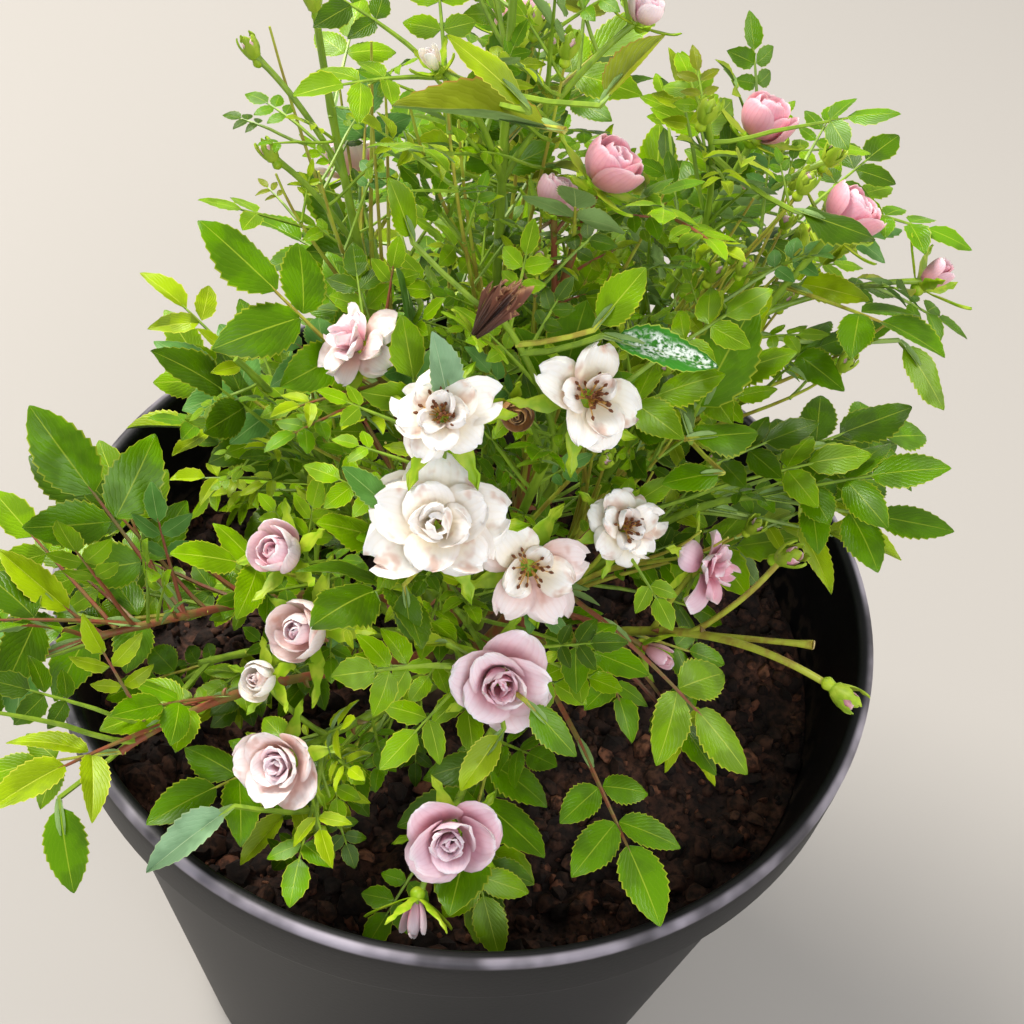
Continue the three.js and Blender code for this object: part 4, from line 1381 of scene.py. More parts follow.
class Piece:
    """One finished mesh of the bush, in place of CAD nodes."""

    def __init__(self, name: str, surface: Surface, finishes: Iterable[Finish], nodes: Iterable[str],
                 slot: str, sharp: float = 60.0) -> None:
        """Writes the surface as a mesh in metres, dresses it and hands it to the frame.

        Args:
            name: The piece's name.
            surface: Its shape.
            finishes: Its finishes, as its faces count them.
            nodes: The CAD nodes that it stands for.
            slot: Not used.
            sharp: The angle past which an edge is shaded sharp, in degrees.
        """
        mesh = bpy.data.meshes.new(name)
        quads, tris = surface.quads, surface.tris
        corners = np.concatenate([quads.ravel(), tris.ravel()]).astype(np.int32)
        sizes = np.concatenate([np.full(len(quads), 4), np.full(len(tris), 3)])
        mesh.vertices.add(len(surface.points))
        mesh.vertices.foreach_set("co", (surface.points * MM).astype(np.float32).ravel())
        mesh.loops.add(len(corners))
        mesh.loops.foreach_set("vertex_index", corners)
        mesh.polygons.add(len(sizes))
        mesh.polygons.foreach_set("loop_start", (np.cumsum(sizes) - sizes).astype(np.int32))
        if surface.quad_finish is not None:
            applied = np.concatenate([surface.quad_finish, surface.tri_finish])
            mesh.polygons.foreach_set("material_index", applied.astype(np.int32))
        if surface.uv is not None:
            layer = mesh.uv_layers.new(name="blade")
            layer.data.foreach_set("uv", surface.uv[corners].astype(np.float32).ravel())
        mesh.update(calc_edges=True)
        mesh.shade_smooth()
        mesh.set_sharp_from_angle(angle=math.radians(sharp))
        for finish in finishes:
            mesh.materials.append(finish.build())
        self.object = bpy.data.objects.new(name, mesh)
        bpy.context.scene.collection.objects.link(self.object)
        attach(self.object, BODY)
        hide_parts(*nodes)
        triangles = 2 * len(quads) + len(tris)
        LOG.info("%s: %d triangles, %d finishes", name, triangles, len(mesh.materials))


# The pot, the soil and the woody stock.


def arc(centre: Pair, radius: float, first: float, last: float, count: int = 6) -> Array:
    """Points of a round edge, centre + radius (cos a, sin a), from one angle in degrees to another."""
    angles = np.radians(np.linspace(first, last, count))
    return np.stack([centre[0] + radius * np.cos(angles), centre[1] + radius * np.sin(angles)], -1)


@dataclass(frozen=True)
class PotShell:
    """The pot: a tapering bucket with a rounded band round its rim."""

    sides: int = 144
    rings: int = 12
    edge: float = 1.2
    foot_edge: float = 1.6
    band_edge: float = 0.8
    band_foot: float = 0.6

    def profile(self) -> Array:
        """The wall's section, from the middle of the underside round to the middle of the floor."""
        p, edge, foot = POT, self.edge, self.foot_edge
        band = p.height - p.lip_height
        inner_top = p.inside(p.height)
        levels = np.linspace(foot, band - self.band_foot, self.rings)
        wall = np.stack([p.outside(levels), levels], -1)
        back = np.linspace(p.height - edge, p.floor + 2.0, self.rings)
        inner = np.stack([np.minimum(p.inside(back), inner_top), back], -1)
        return np.concatenate([
            [[0, 0], [p.foot_radius * 0.5, 0], [p.foot_radius - foot, 0]],
            arc((p.foot_radius - foot, foot), foot, -85, -5, 5),
            wall,
            [[p.outside(band) + 0.5, band - 0.15]],
            arc((p.rim_radius - self.band_foot - self.band_edge, band + self.band_edge),
                self.band_edge, -80, 0, 4),
            [[p.rim_radius - 0.1, p.height - 4.0]],
            arc((p.rim_radius - edge, p.height - edge), edge, 0, 90),
            arc((inner_top + edge, p.height - edge), edge, 90, 180),
            inner[1:],
            [[p.inside(p.floor) - 1.5, p.floor], [p.foot_radius * 0.5, p.floor], [0, p.floor]],
        ])

    def build(self) -> Piece:
        """Turns the pot's section."""
        return Piece("pot_shell", lathed(self.profile(), self.sides), [PLASTIC], ["pot"], "pot", sharp=35)


@dataclass(frozen=True)
class PottingSoil:
    """The soil: an uneven heap that meets the wall, with loose crumbs and bark chips on it."""

    rings: int = 70
    sides: int = 220
    crown: float = 2.5
    uneven: float = 2.4
    lumps: tuple[float, float, int] = (40, 8, 24)
    grains: tuple[float, float, int] = (7, 2.2, 40)
    crumbs: int = 3600
    least_crumb: float = 0.45
    crumb_range: float = 1.9
    crumb_shares: tuple[float, ...] = (0.5, 0.36, 0.14)
    sunk: float = 0.25
    seed: int = 11

    @property
    def edge(self) -> float:
        """The radius at which the soil meets the wall."""
        return POT.inside(SOIL_TOP - self.crown) - 0.15

    def height(self, places: Array) -> Array:
        """The soil's height: crown (1 - (r / edge)^2), plus noise that calms at the stock and wall.

        Args:
            places: (x, y) places, (N, 2).

        Returns:
            The heights, (N,).
        """
        radius = norm(places, axis=1)
        share = np.minimum(radius / self.edge, 1)
        calm = np.clip((radius - STOCK_RADIUS) / 12, 0, 1) * np.clip((self.edge + 2 - radius) / 6, 0.3, 1)
        rough = waves(places, *self.lumps, self.seed) + 0.5 * waves(places, *self.grains, self.seed + 1)
        return SOIL_TOP - self.crown * share**2 + self.uneven * 0.5 * calm * rough

    def heap(self) -> Surface:
        """The soil's body: its upper grid bent to height(), closed by a plain side and bottom."""
        low = POT.floor + 0.4
        shares = np.linspace(1, 0.02, self.rings)
        top = np.stack([self.edge * shares, np.full(self.rings, SOIL_TOP)], -1)
        profile = np.concatenate([[[0, low], [POT.inside(low) - 0.3, low]], top, [[0, SOIL_TOP]]])
        body = lathed(profile, self.sides)
        above = body.points[:, 2] > low + 1
        body.points[above, 2] = self.height(body.points[above, :2])
        return body

    def loose(self) -> Surface:
        """The crumbs: dented twenty-sided lumps, most of them small, sunk a little into the heap."""
        rng = np.random.default_rng(self.seed)
        golden = (1 + math.sqrt(5)) / 2
        corners = [(0, a, b * golden) for a in (-1, 1) for b in (-1, 1)]
        lump = unit(np.array([np.roll(c, k) for k in range(3) for c in corners], float))
        near = distances(lump, lump)
        triples = [(i, j, k) for i in range(12) for j in range(i + 1, 12) for k in range(j + 1, 12)
                   if max(near[i, j], near[j, k], near[i, k]) < 1.1]
        faces = np.array([t if np.linalg.det(lump[list(t)]) > 0 else (t[0], t[2], t[1]) for t in triples])
        n = self.crumbs
        radius = self.edge * np.sqrt(rng.uniform(0.045, 0.97, n))
        angle = rng.uniform(0, 2 * math.pi, n)
        places = np.stack([radius * np.cos(angle), radius * np.sin(angle)], -1)
        size = self.least_crumb + self.crumb_range * rng.random(n) ** 3
        stretch = rng.uniform(0.6, 1.5, (n, 1, 3)) * rng.uniform(0.75, 1.2, (n, 12, 1))
        spin = np.linalg.qr(rng.normal(size=(n, 3, 3)))[0]
        spin *= np.sign(np.linalg.det(spin))[:, None, None]
        high = self.height(places) + size * self.sunk
        middle = np.concatenate([places, high[:, None]], 1)
        points = (lump * stretch * size[:, None, None]) @ spin + middle[:, None]
        tris = (faces[None] + (np.arange(n) * 12)[:, None, None]).reshape(-1, 3)
        finish = np.repeat(rng.choice(3, n, p=self.crumb_shares), len(faces))
        return Surface(points.reshape(-1, 3), tris=tris, quad_finish=np.empty(0, int), tri_finish=finish)

    def build(self) -> None:
        """Makes the heap and the crumbs on it."""
        Piece("soil_heap", self.heap(), [SOIL_MIX], ["soil"], "soil", sharp=180)
        Piece("soil_crumbs", self.loose(), CRUMB_FINISHES, ["soil"], "soil", sharp=50)


@dataclass(frozen=True)
class WoodyStock:
    """The short stock that the canes spring from, with furrowed bark and a swollen foot."""

    flare: float = 14.0
    sunk: float = 1.5
    sides: int = 72
    furrows: int = 11
    cracks: int = 23
    deep: float = 0.75
    knobs: tuple[float, float, int] = (9, 2, 20)
    seed: int = 5

    def build(self) -> Piece:
        """Turns the stock's profile and furrows it by sines round its axis."""
        base = SOIL_TOP + SEAT - self.sunk
        neck = SOIL_TOP + SEAT + STOCK_NECK
        foot = [[0, base], [self.flare, base]]
        foot += [[self.flare - 0.2, base + 1.6], [self.flare - 1.7, base + 3.2]]
        dome = arc((0, neck), STOCK_RADIUS, 0, 86, 16)
        body = lathed(np.concatenate([foot, dome, [[0, neck + STOCK_RADIUS]]]), self.sides)
        x, y, z = body.points.T
        angle = np.arctan2(y, x)
        ridge = np.sin(self.furrows * angle + 0.25 * z) + 0.6 * np.sin(self.cracks * angle - 0.4 * z)
        reach = np.clip(np.hypot(x, y) / STOCK_RADIUS, 0, 1)
        inward = 1 - self.deep * (0.5 - 0.3 * ridge) * reach / np.maximum(np.hypot(x, y), 1)
        body.points[:, :2] *= inward[:, None]
        body.points[:, 2] += 0.35 * waves(body.points, *self.knobs, self.seed) * (z > neck)
        return Piece("woody_stock", body, [OLD_BARK], ["stock"], "stock", sharp=180)


# The canes, stalks and twigs.


@dataclass(frozen=True)
class Canes:
    """The shoots' limbs, from inside the stock to their tips, with prickles and swollen joints."""

    bush: RoseBush
    steps: int = 46
    sides: int = 9
    in_stock: float = 3.0
    socket: float = 2.0
    joint: float = 0.2
    joint_reach: float = 1.4
    prickles: int = 5
    seed: int = 21
    stalk_steps: int = 14
    stalk_sides: int = 7
    cut_share: float = 0.62
    cut: Triple = (55.0, -30.0, POT.height + 36.0)

    def limbs(self) -> Surface:
        """Each shoot as one tapering rod, a little thicker where a leaf springs from it."""
        shares = np.linspace(0, 1, self.steps)
        paths, radii, finish = [], [], []
        for g in self.bush.grown:
            path = g.whole.at(shares)
            path[0] -= g.whole.heading(0) * self.in_stock
            marks = [self.socket, CANE_FOOT, CANE_FORK, CANE_TIP]
            thick = np.interp(shares, [0, 0.05, g.shoot.fork, 1], marks)
            bases = np.array([spray.base for spray in g.sprays])
            near = distances(path, bases).min(axis=1)
            paths.append(path)
            radii.append(thick * (1 + self.joint * np.exp(-((near / self.joint_reach) ** 2))))
            finish.append(g.shoot.bark.value)
        return rods(np.array(paths), np.array(radii), self.sides, np.array(finish))

    def thorns(self) -> Surface:
        """Small hooked prickles on the canes: rods that taper to a point and bend downwards."""
        rng = np.random.default_rng(self.seed)
        paths, finish = [], []
        for g in self.bush.grown:
            for share in rng.uniform(0.12, 0.8, self.prickles):
                heading = g.whole.heading(share)
                angle = np.array([rng.uniform(0, 2 * math.pi)])
                out = turned_about(square_to(heading)[None], heading, angle)[0]
                root = g.whole.at(share)
                long = rng.uniform(1.5, 2.3)
                paths.append([root, root + out * long * 0.6, root + out * long * 0.9 - heading * 0.25,
                              root + out * long - heading * 0.7])
                finish.append(Skin.RED.value)
        radii = np.tile([0.6, 0.42, 0.22, 0.04], (len(paths), 1))
        return rods(np.array(paths), radii, 5, np.array(finish))

    def stalks(self) -> Surface:
        """The bloom stalks, the thin side stems, and the arm that was cut off square below its buds."""
        shares = np.linspace(0, 1, self.stalk_steps)
        seated = np.interp(shares, [0, 0.15, 0.9, 1], [0.75, STALK_RADIUS, STALK_RADIUS, 0.8])
        thin = np.interp(shares, [0, 0.2, 1], [0.6, 0.45, 0.2])
        gold = Skin.GOLD.value
        arm = next(g for g in self.bush.grown if g.shoot.name == "bud_arm")
        root, cut = arm.whole.at(self.cut_share), np.array(self.cut)
        stub = Curve(np.array([root, root + arm.whole.heading(self.cut_share) * 10, cut]))
        rows = []
        for g in self.bush.grown:
            rows += [(stalk, g.shoot.bark.value, seated) for stalk in g.stalks]
            rows += [(stem, gold, thin) for stem in g.side_stems]
        rows.append((stub, gold, seated))
        paths = np.array([curve.at(shares) for curve, _, _ in rows])
        radii, finish = np.array([thick for _, _, thick in rows]), np.array([skin for _, skin, _ in rows])
        pith = rods(np.array([[cut, cut + np.array([0.2, 0, 0])]]), np.array([[0.76, 0.7]]), self.sides,
                    np.array([Skin.CUT.value]))
        return joined([rods(paths, radii, self.stalk_sides, finish), pith])

    def build(self) -> None:
        """Makes the limbs and the stalks."""
        finishes = list(BARK_FINISHES.values())
        canes = [f"cane_{shoot.name}" for shoot in SHOOTS]
        Piece("canes", joined([self.limbs(), self.thorns()]), finishes, canes, "cane")
        Piece("flower_stalks", self.stalks(), finishes, MASSES, "cane")


# The leaves.


@dataclass(frozen=True)
class Foliage:
    """The compound leaves: toothed leaflets folded along their midribs, on fine twigs and rachises."""

    bush: RoseBush
    teeth: int = 10
    fine_teeth: int = 5
    cols: int = 5
    fine_cols: int = 3
    fullness: Pair = (0.62, 0.85)
    tooth: Pair = (0.95, 1.06)
    narrow: float = 0.3
    thick: float = 0.24
    twig: float = 0.5
    stipule: Pair = (7.5, 0.75)
    seed: int = 31

    def leaflets(self, sprays: list[Spray], teeth: int, cols: int) -> Surface:
        """Every leaflet of some leaves.

        Its half width at a share s of its length is w s^0.62 (1 - s)^0.85 over that curve's peak,
        cut into teeth. It folds up by f |x| along its midrib, arches by x^2 and droops by s^2.

        Args:
            sprays: The leaves.
            teeth: The teeth on each side of a leaflet.
            cols: The grid's columns across.

        Returns:
            The leaflets, with their own green above and the pale one below.
        """
        rng = np.random.default_rng(self.seed + cols)
        rows = [(i, *row) for i, spray in enumerate(sprays) for row in leaflet_rows(spray.leaflets)]
        table = np.array(rows, float)
        owner = table[:, 0].astype(int)
        at, length, width, angle, side = (table[:, k, None, None] for k in range(1, 6))
        count = len(table)

        def draw(low: float, high: float) -> Array:
            """One number between low and high for each leaflet."""
            return rng.uniform(low, high, (count, 1, 1))

        fresh = np.array([sprays[i].tint in NARROW_GREENS for i in owner])[:, None, None]
        angle = np.radians(angle + draw(-7, 7) * (angle > 0))
        length, width = length * draw(0.9, 1.04), width * draw(0.86, 1.04)
        share = np.array([[k / teeth, (k + 0.78) / teeth] for k in range(teeth)]).ravel()
        share = np.append(0.004 + share * 0.99, 0.997)[None, :, None]
        tooth = np.append(np.tile(self.tooth, teeth), 1.0)[None, :, None]
        u = np.linspace(-1, 1, cols)[None, None, :]
        foot_power, tip_power = self.fullness
        powers = foot_power + tip_power
        curve = share**foot_power * (1 - share) ** tip_power
        peak = (foot_power / powers) ** foot_power * (tip_power / powers) ** tip_power
        half = width * (1 - self.narrow * fresh) / 2 * curve / peak
        aside = u * half * np.where(np.abs(u) > 0.99, tooth, 1.0)
        out_x, out_y = np.sin(angle), np.cos(angle)
        foot = np.where(angle > 0, RACHIS / 2, 0.0)
        x = side * (foot + out_x * share * length - out_y * aside * side)
        y = at + out_y * share * length + out_x * aside * side
        scale = np.array([sprays[i].scale for i in owner])[:, None, None]
        lift = (draw(0.12, 0.5) + draw(0.1, 0.7) * fresh) * np.abs(aside)
        lift = lift - draw(0.0, 0.9) * aside**2 / width
        lift = lift - draw(-0.02, 0.16) * length * share**2 + draw(-0.18, 0.18) * aside
        lift = lift + draw(0.0, 0.03) * length * np.sin(share * 9 + draw(0, 6)) * np.abs(u)
        flat = (count, -1)
        root, axes, curl = (np.array([getattr(sprays[i], part) for i in owner])
                            for part in ("root", "axes", "curl"))
        grid = np.broadcast_arrays(x, y, lift * scale)
        middle = bent(root, axes, scale[:, 0], curl[:, None], *(part.reshape(flat) for part in grid))
        middle = middle.reshape(count, share.shape[1], cols, 3)
        upper = np.array([sprays[i].tint.value for i in owner])
        thick = self.thick * np.clip(scale[:, 0, 0], 0.5, 1)
        return blades(middle, thick, upper, np.full(count, len(Green)))

    def rachises(self, sprays: list[Spray], barks: list[Skin]) -> Surface:
        """Each leaf's bare twig, which sags a little, and its rachis.

        Args:
            sprays: The leaves.
            barks: The skin of each one's twig.

        Returns:
            The twigs, each from inside its limb to its end leaflet.
        """
        paths, radii = [], []
        for spray in sprays:
            along = spray.axes[1]
            base = spray.base
            y = np.linspace(0, leaflet_rows(spray.leaflets)[-1][0] + 1.5, 7)
            blade = spray.bent(y * 0, y, -0.1)
            gap = spray.root - base
            sag = np.array([0, 0, 0.06]) * norm(gap)
            twig = [base - along * 0.4, base + gap * 0.33 - sag, base + gap * 0.7 - sag * 0.8]
            if norm(gap) < 0.5:
                twig = [spray.root - along * d for d in (0.8, 0.5, 0.2)]
            paths.append(np.concatenate([twig, blade]))
            thick = self.twig * spray.scale**0.4
            blade_radii = np.linspace(thick, thick * 0.5, 7)
            radii.append(np.concatenate([[thick * 1.25, thick * 1.05, thick], blade_radii]))
        finish = np.array([bark.value for bark in barks])
        return rods(np.array(paths), np.array(radii), 5, finish)

    def stipules(self, sprays: list[Spray]) -> Surface:
        """A narrow pair of stipules at the foot of each leaf, of half width w s^0.5 (1 - s)^0.4.

        Args:
            sprays: The leaves.

        Returns:
            The stipules.
        """
        share = np.linspace(0.02, 0.98, 5)[:, None]
        u = np.linspace(-1, 1, 3)[None, :]
        grids = []
        long, wide = self.stipule
        half = wide * np.sqrt(share) * (1 - share) ** 0.4
        for spray in sprays:
            for side in (-1, 1):
                x = side * (0.3 + half * 0.9 + side * half * u)
                y = share * long + 0 * u
                lift = 0.5 * np.abs(x) + 0 * u
                grids.append(spray.bent(x.ravel(), y.ravel(), lift.ravel()).reshape(5, 3, 3))
        finish = np.full(len(grids), Green.LIME.value)
        return blades(np.array(grids), 0.2, finish, np.full(len(grids), len(Green)))

    def deal_tints(self) -> None:
        """Gives each leaf its green: young and yellow towards the tips, deeper low and inside."""
        rng = np.random.default_rng(self.seed)
        tints = (Green.DEEP, Green.MID, Green.BRIGHT, Green.LIME, Green.SEA, Green.YOUNG)
        for g in self.bush.grown:
            for spray in [spray for spray in g.sprays + g.fine if not spray.tint]:
                near = norm(g.whole.at(1.0) - spray.root)
                high = np.clip((spray.root[2] - POT.height) / 110, 0, 1)
                fresh = np.clip(1 - near / 45, 0, 1) * 0.6 + high * 0.4
                bronze = 1.5 * max(high - 0.5, 0)
                weights = np.array([1.1 - fresh, 1.5, 1.1 + fresh, 0.3 + fresh, 0.25, bronze])
                spray.tint = tints[rng.choice(len(tints), p=weights / weights.sum())]

    def build(self) -> None:
        """Deals the greens and makes the large leaves, the small ones, the young ones and the twigs."""
        self.deal_tints()
        rng = np.random.default_rng(self.seed + 1)
        large = [spray for g in self.bush.grown for spray in g.sprays]
        fine = [spray for g in self.bush.grown for spray in g.fine]
        limbs = [g.shoot.bark for g in self.bush.grown for _ in g.sprays]
        fine_limbs = [g.shoot.bark for g in self.bush.grown for _ in g.fine]
        barks = [bark if rng.random() < 0.75 else Skin.GOLD for bark in limbs]
        fine_barks = [bark if rng.random() < 0.5 else Skin.GREEN for bark in fine_limbs]
        skins = [*LEAF_FINISHES.values(), UNDERSIDE]
        blade = joined([self.leaflets(large, self.teeth, self.cols), self.stipules(large)])
        Piece("large_leaves", blade, skins, MASSES, "foliage", sharp=50)
        for name, wanted in (("small_leaves", False), ("young_leaves", True)):
            kept = [spray for spray in fine if (spray.tint in FRESH_GREENS) is wanted]
            blade = self.leaflets(kept, self.fine_teeth, self.fine_cols)
            Piece(name, blade, skins, MASSES, "foliage", sharp=50)
        twigs = self.rachises(large + fine, barks + fine_barks)
        Piece("twigs", twigs, BARK_FINISHES.values(), MASSES, "cane")
        LOG.info("%d large and %d small leaves", len(large), len(fine))


# The blossom.


@dataclass(frozen=True)
class Rim:
    """How petals end: waves, a notch, an uneven edge, a rim rolled back in degrees, and a crease."""

    ruffle: float = 0.06
    notch: float = 0.05
    ragged: float = 0.05
    roll: float = 0.0
    crease: float = 0.0


DRIED_LEANS = unit(np.array([0.55, 0.45, 0.7]))
SEPAL_RIM = Rim(0.04, 0.0, 0.04, -20.0, 0.35)


@dataclass(frozen=True)
class PetalPlan:
    """How the petals of one kind of blossom stand, from its middle outwards, in its own radius.

    Each row of keys is: layer from 0 in the middle to 1 outside, radius of the foot, length, the
    angle above level at the foot and at the tip in degrees, half width, and height of the foot.
    The bloom is spread until it is widest radii wide, and its angles stray by up to loose degrees.
    """

    count: int
    keys: tuple[tuple[float, ...], ...]
    rim: Rim
    widest: float
    loose: float = 6.0


PETAL_PLANS = {
    Opening.FULL_BLOWN: PetalPlan(14, (
        (0, 0.04, 0.4, 68, 100, 0.3, -0.02), (0.35, 0.08, 0.62, 44, 50, 0.44, -0.1),
        (0.6, 0.1, 0.84, 28, 24, 0.5, -0.18), (1, 0.12, 0.98, 14, 6, 0.57, -0.26)),
        Rim(0.12, 0.02, 0, 44, 0.45), 1.22),
    Opening.OPEN: PetalPlan(8, (
        (0, 0.12, 0.52, 56, 46, 0.32, -0.12), (0.35, 0.12, 0.84, 32, 28, 0.46, -0.18),
        (1, 0.14, 0.98, 16, 6, 0.5, -0.24)),
        Rim(0.12, 0.02, 0.02, 48, 0.5), 1.22),
    Opening.DROOPING: PetalPlan(12, (
        (0, 0.1, 0.66, 76, 52, 0.38, -0.26), (0.5, 0.12, 0.95, 40, -6, 0.5, -0.3),
        (1, 0.14, 1.06, 14, -52, 0.56, -0.32)),
        Rim(0.14, 0.03, 0.01, 24, 0.6), 1.22),
    Opening.CUPPED: PetalPlan(13, (
        (0, 0.05, 0.6, 86, 112, 0.3, -0.36), (0.35, 0.12, 0.82, 66, 100, 0.52, -0.44),
        (0.7, 0.18, 1.0, 40, 78, 0.7, -0.52), (1, 0.2, 1.12, 26, 44, 0.78, -0.56)),
        Rim(0.06, 0.02, 0, 80, 0.35), 1.15),
    Opening.BALL: PetalPlan(13, (
        (0, 0.03, 1.0, 74, 118, 0.34, -0.62), (0.5, 0.08, 1.55, 34, 126, 0.68, -0.76),
        (1, 0.1, 1.85, 8, 112, 0.9, -0.86)),
        Rim(0.02, 0.03, 0, 8, 0.04), 1.08),
    Opening.BUD: PetalPlan(7, (
        (0, 0.03, 1.5, 78, 104, 0.3, -0.62), (0.6, 0.06, 1.9, 48, 112, 0.52, -0.72),
        (1, 0.08, 1.95, 38, 100, 0.6, -0.8)),
        Rim(0.02, 0, 0.02), 0.66),
    Opening.SHUT: PetalPlan(4, (
        (0, 0.03, 1.4, 78, 100, 0.24, -0.6), (1, 0.05, 1.6, 55, 108, 0.4, -0.7)),
        Rim(0.02, 0, 0.02), 0.5),
    Opening.DRIED: PetalPlan(20, (
        (0, 0.03, 2.2, 88, 70, 0.1, -1.3), (1, 0.12, 3.1, 70, 104, 0.17, -1.5)),
        Rim(0.4, 0.1, 0.3, -60, 1.5), 1.05, 24.0),
}

# The sepals' keys, as in a petal plan but without the layer, for each kind of blossom that isn't open.
SEPAL_KEYS = {
    Opening.SHUT: (0.16, 2.05, 58, 97, 0.46, -0.8),
    Opening.BUD: (0.18, 2.0, 30, 56, 0.34, -0.86),
    Opening.BALL: (0.16, 1.9, 4, 26, 0.34, -0.9),
    Opening.DRIED: (0.14, 1.5, 20, -30, 0.3, -1.2),
}
OPEN_SEPALS = (0.12, 1.3, -8, -30, 0.19, -0.55)


@dataclass(frozen=True)
class Blossom:
    """All blossoms and buds: petals in spirals, sepals, seed cups and stamens."""

    bush: RoseBush
    rows: int = 9
    cols: int = 7
    steps: int = 40
    notch_width: float = 0.28
    roll_from: float = 0.66
    roll_over: float = 0.34
    round_peak: float = 0.705
    point_peak: float = 0.58
    sepals_each: int = 5
    longer: float = 1.35
    bent_back: float = 28.0
    filament: float = 0.11
    seed: int = 41

    @staticmethod
    def frame_of(bloom: Bloom, spin: float) -> Array:
        """The bloom's own axes.

        Args:
            bloom: The bloom.
            spin: How far the first two are turned about the third, in radians.

        Returns:
            Three rows: two square to the way it faces, and that way.
        """
        facing = DRIED_LEANS if bloom.opening is Opening.DRIED else bloom.facing
        side = turned_about(square_to(facing)[None], facing, np.array([spin]))[0]
        return np.stack([side, np.cross(facing, side), facing])

    def whorl(self, keys: Array, turns: Array, rim: Rim, pointed: bool, rng: Draws) -> Array:
        """Petals or sepals as grids in a bloom's own frame, of radius about 1.

        Along a petal its angle above level goes from the first to the last, less the roll over
        its last third, and its path is the running sum of (cos, sin) of that angle. Across it
        wraps round the bloom's axis at the path's radius r: (r - c (1 - cos(w / c)), c sin(w / c)),
        with c the larger of r and 0.6 half widths. Its half width is s^0.6 (1 - s^4)^0.5, or
        s^0.3 (1 - s)^0.8 with three lobes where it is a sepal.

        Args:
            keys: Foot radius, length, first and last angle, half width, foot height, (K, 6).
            turns: Their directions about the axis, in radians, (K,).
            rim: How they end.
            pointed: Whether they are sepals.
            rng: The stream of draws.

        Returns:
            The grids, (K, rows, cols, 3).
        """
        count = len(keys)
        foot, length, first, last, width, base = (keys[:, k, None, None] for k in range(6))
        share = 1 - (1 - np.linspace(0.03, 1, self.rows)) ** 1.6
        share = np.clip(share, 0.02, 0.992)[None, :, None]
        u = np.linspace(-1, 1, self.cols)[None, None, :]
        phase = rng.uniform(0, 2 * math.pi, (count, 1, 1))
        notch = rim.notch * np.exp(-((u / self.notch_width) ** 2))
        reach = 1 - notch - rim.ragged * (0.5 + 0.5 * np.sin(4.3 * u + phase * 3))
        s = share * (1 - (1 - reach) * share**2)
        roll = rim.roll * rng.uniform(0.5, 1.2, (count, 1, 1))

        def slope(first: Array, last: Array, roll: Array, s: Array) -> Array:
            """The angle above level at a share of the length, in radians."""
            rolled = roll * np.clip((s - self.roll_from) / self.roll_over, 0, 1) ** 1.3
            return np.radians(first + (last - first) * s**1.2 - rolled)

        angle = slope(first, last, roll, s)
        fine = np.linspace(0, 1, self.steps)[None, :]
        turn = slope(first[:, 0], last[:, 0], roll[:, 0], fine)
        run = np.cumsum(np.cos(turn), 1) / self.steps
        rise = np.cumsum(np.sin(turn), 1) / self.steps
        out = np.stack([np.interp(s[k], fine[0], run[k]) for k in range(count)])
        high = np.stack([np.interp(s[k], fine[0], rise[k]) for k in range(count)])
        round_tip = share**0.6 * np.sqrt(1 - share**4) / self.round_peak
        point_tip = share**0.3 * (1 - share) ** 0.8 / self.point_peak * (1 + 0.45 * np.sin(share * 17))
        wide = width * u * (point_tip if pointed else round_tip)
        radius = foot + length * out
        bend = np.maximum(np.abs(radius), 0.6 * width)
        wave = rim.ruffle * share**2 * np.sin(2.4 * u * math.pi + phase) * np.abs(u) ** 0.7
        crease = rim.crease * rng.uniform(-0.4, 1, (count, 1, 1))
        wave = wave + crease * width * share * np.sqrt((u + 0.3 * np.sin(phase)) ** 2 + 0.02)
        lift = base + length * high + wave * np.cos(angle)
        radius = radius - wave * np.sin(angle)
        back = radius - bend * (1 - np.cos(wide / bend))
        beside = bend * np.sin(wide / bend)
        turned = turns[:, None, None] + rng.uniform(-0.2, 0.2, (count, 1, 1)) * share**2
        c, n = np.cos(turned), np.sin(turned)
        return np.stack([back * c - beside * n, back * n + beside * c, lift + 0 * back], -1)

    def petals(self, bloom: Bloom, rng: Draws) -> tuple[Array, Array]:
        """A bloom's petals.

        Args:
            bloom: The bloom.
            rng: The stream of draws.

        Returns:
            Their grids in the bloom's own frame, and each one's finish.
        """
        plan = PETAL_PLANS[bloom.opening]
        layer = np.linspace(0, 1, plan.count)
        keys = np.array(plan.keys)
        table = np.stack([np.interp(layer, keys[:, 0], keys[:, k]) for k in range(1, 7)], -1)
        table[:, :5] *= rng.uniform(0.93, 1.07, (plan.count, 5))
        table[:, 2:4] += rng.uniform(-1, 1, (plan.count, 2)) * plan.loose
        turns = np.radians(np.arange(plan.count) * GOLDEN_TURN + rng.uniform(-20, 20, plan.count))
        grid = self.whorl(table, turns, plan.rim, False, rng)
        wide = np.hypot(grid[..., 0], grid[..., 1]).max()
        grid[..., :2] *= plan.widest / wide
        tints = np.where(layer > 0.45, bloom.outer.value, bloom.inner.value)
        return grid, tints

    def sepals(self, bloom: Bloom, rng: Draws) -> Array:
        """A bloom's sepals: turned back when it is open, hugging a bud.

        Args:
            bloom: The bloom.
            rng: The stream of draws.

        Returns:
            Their grids in the bloom's own frame.
        """
        count = self.sepals_each
        row = SEPAL_KEYS.get(bloom.opening, OPEN_SEPALS)
        keys = np.tile(row, (count, 1)) * rng.uniform(0.94, 1.06, (count, len(row)))
        if bloom.long_sepals:
            keys[:, 1] *= self.longer
            keys[:, 3] -= self.bent_back
        turns = np.radians(np.arange(count) * (360 / count) + rng.uniform(-8, 8, count))
        return self.whorl(keys, turns, SEPAL_RIM, True, rng)

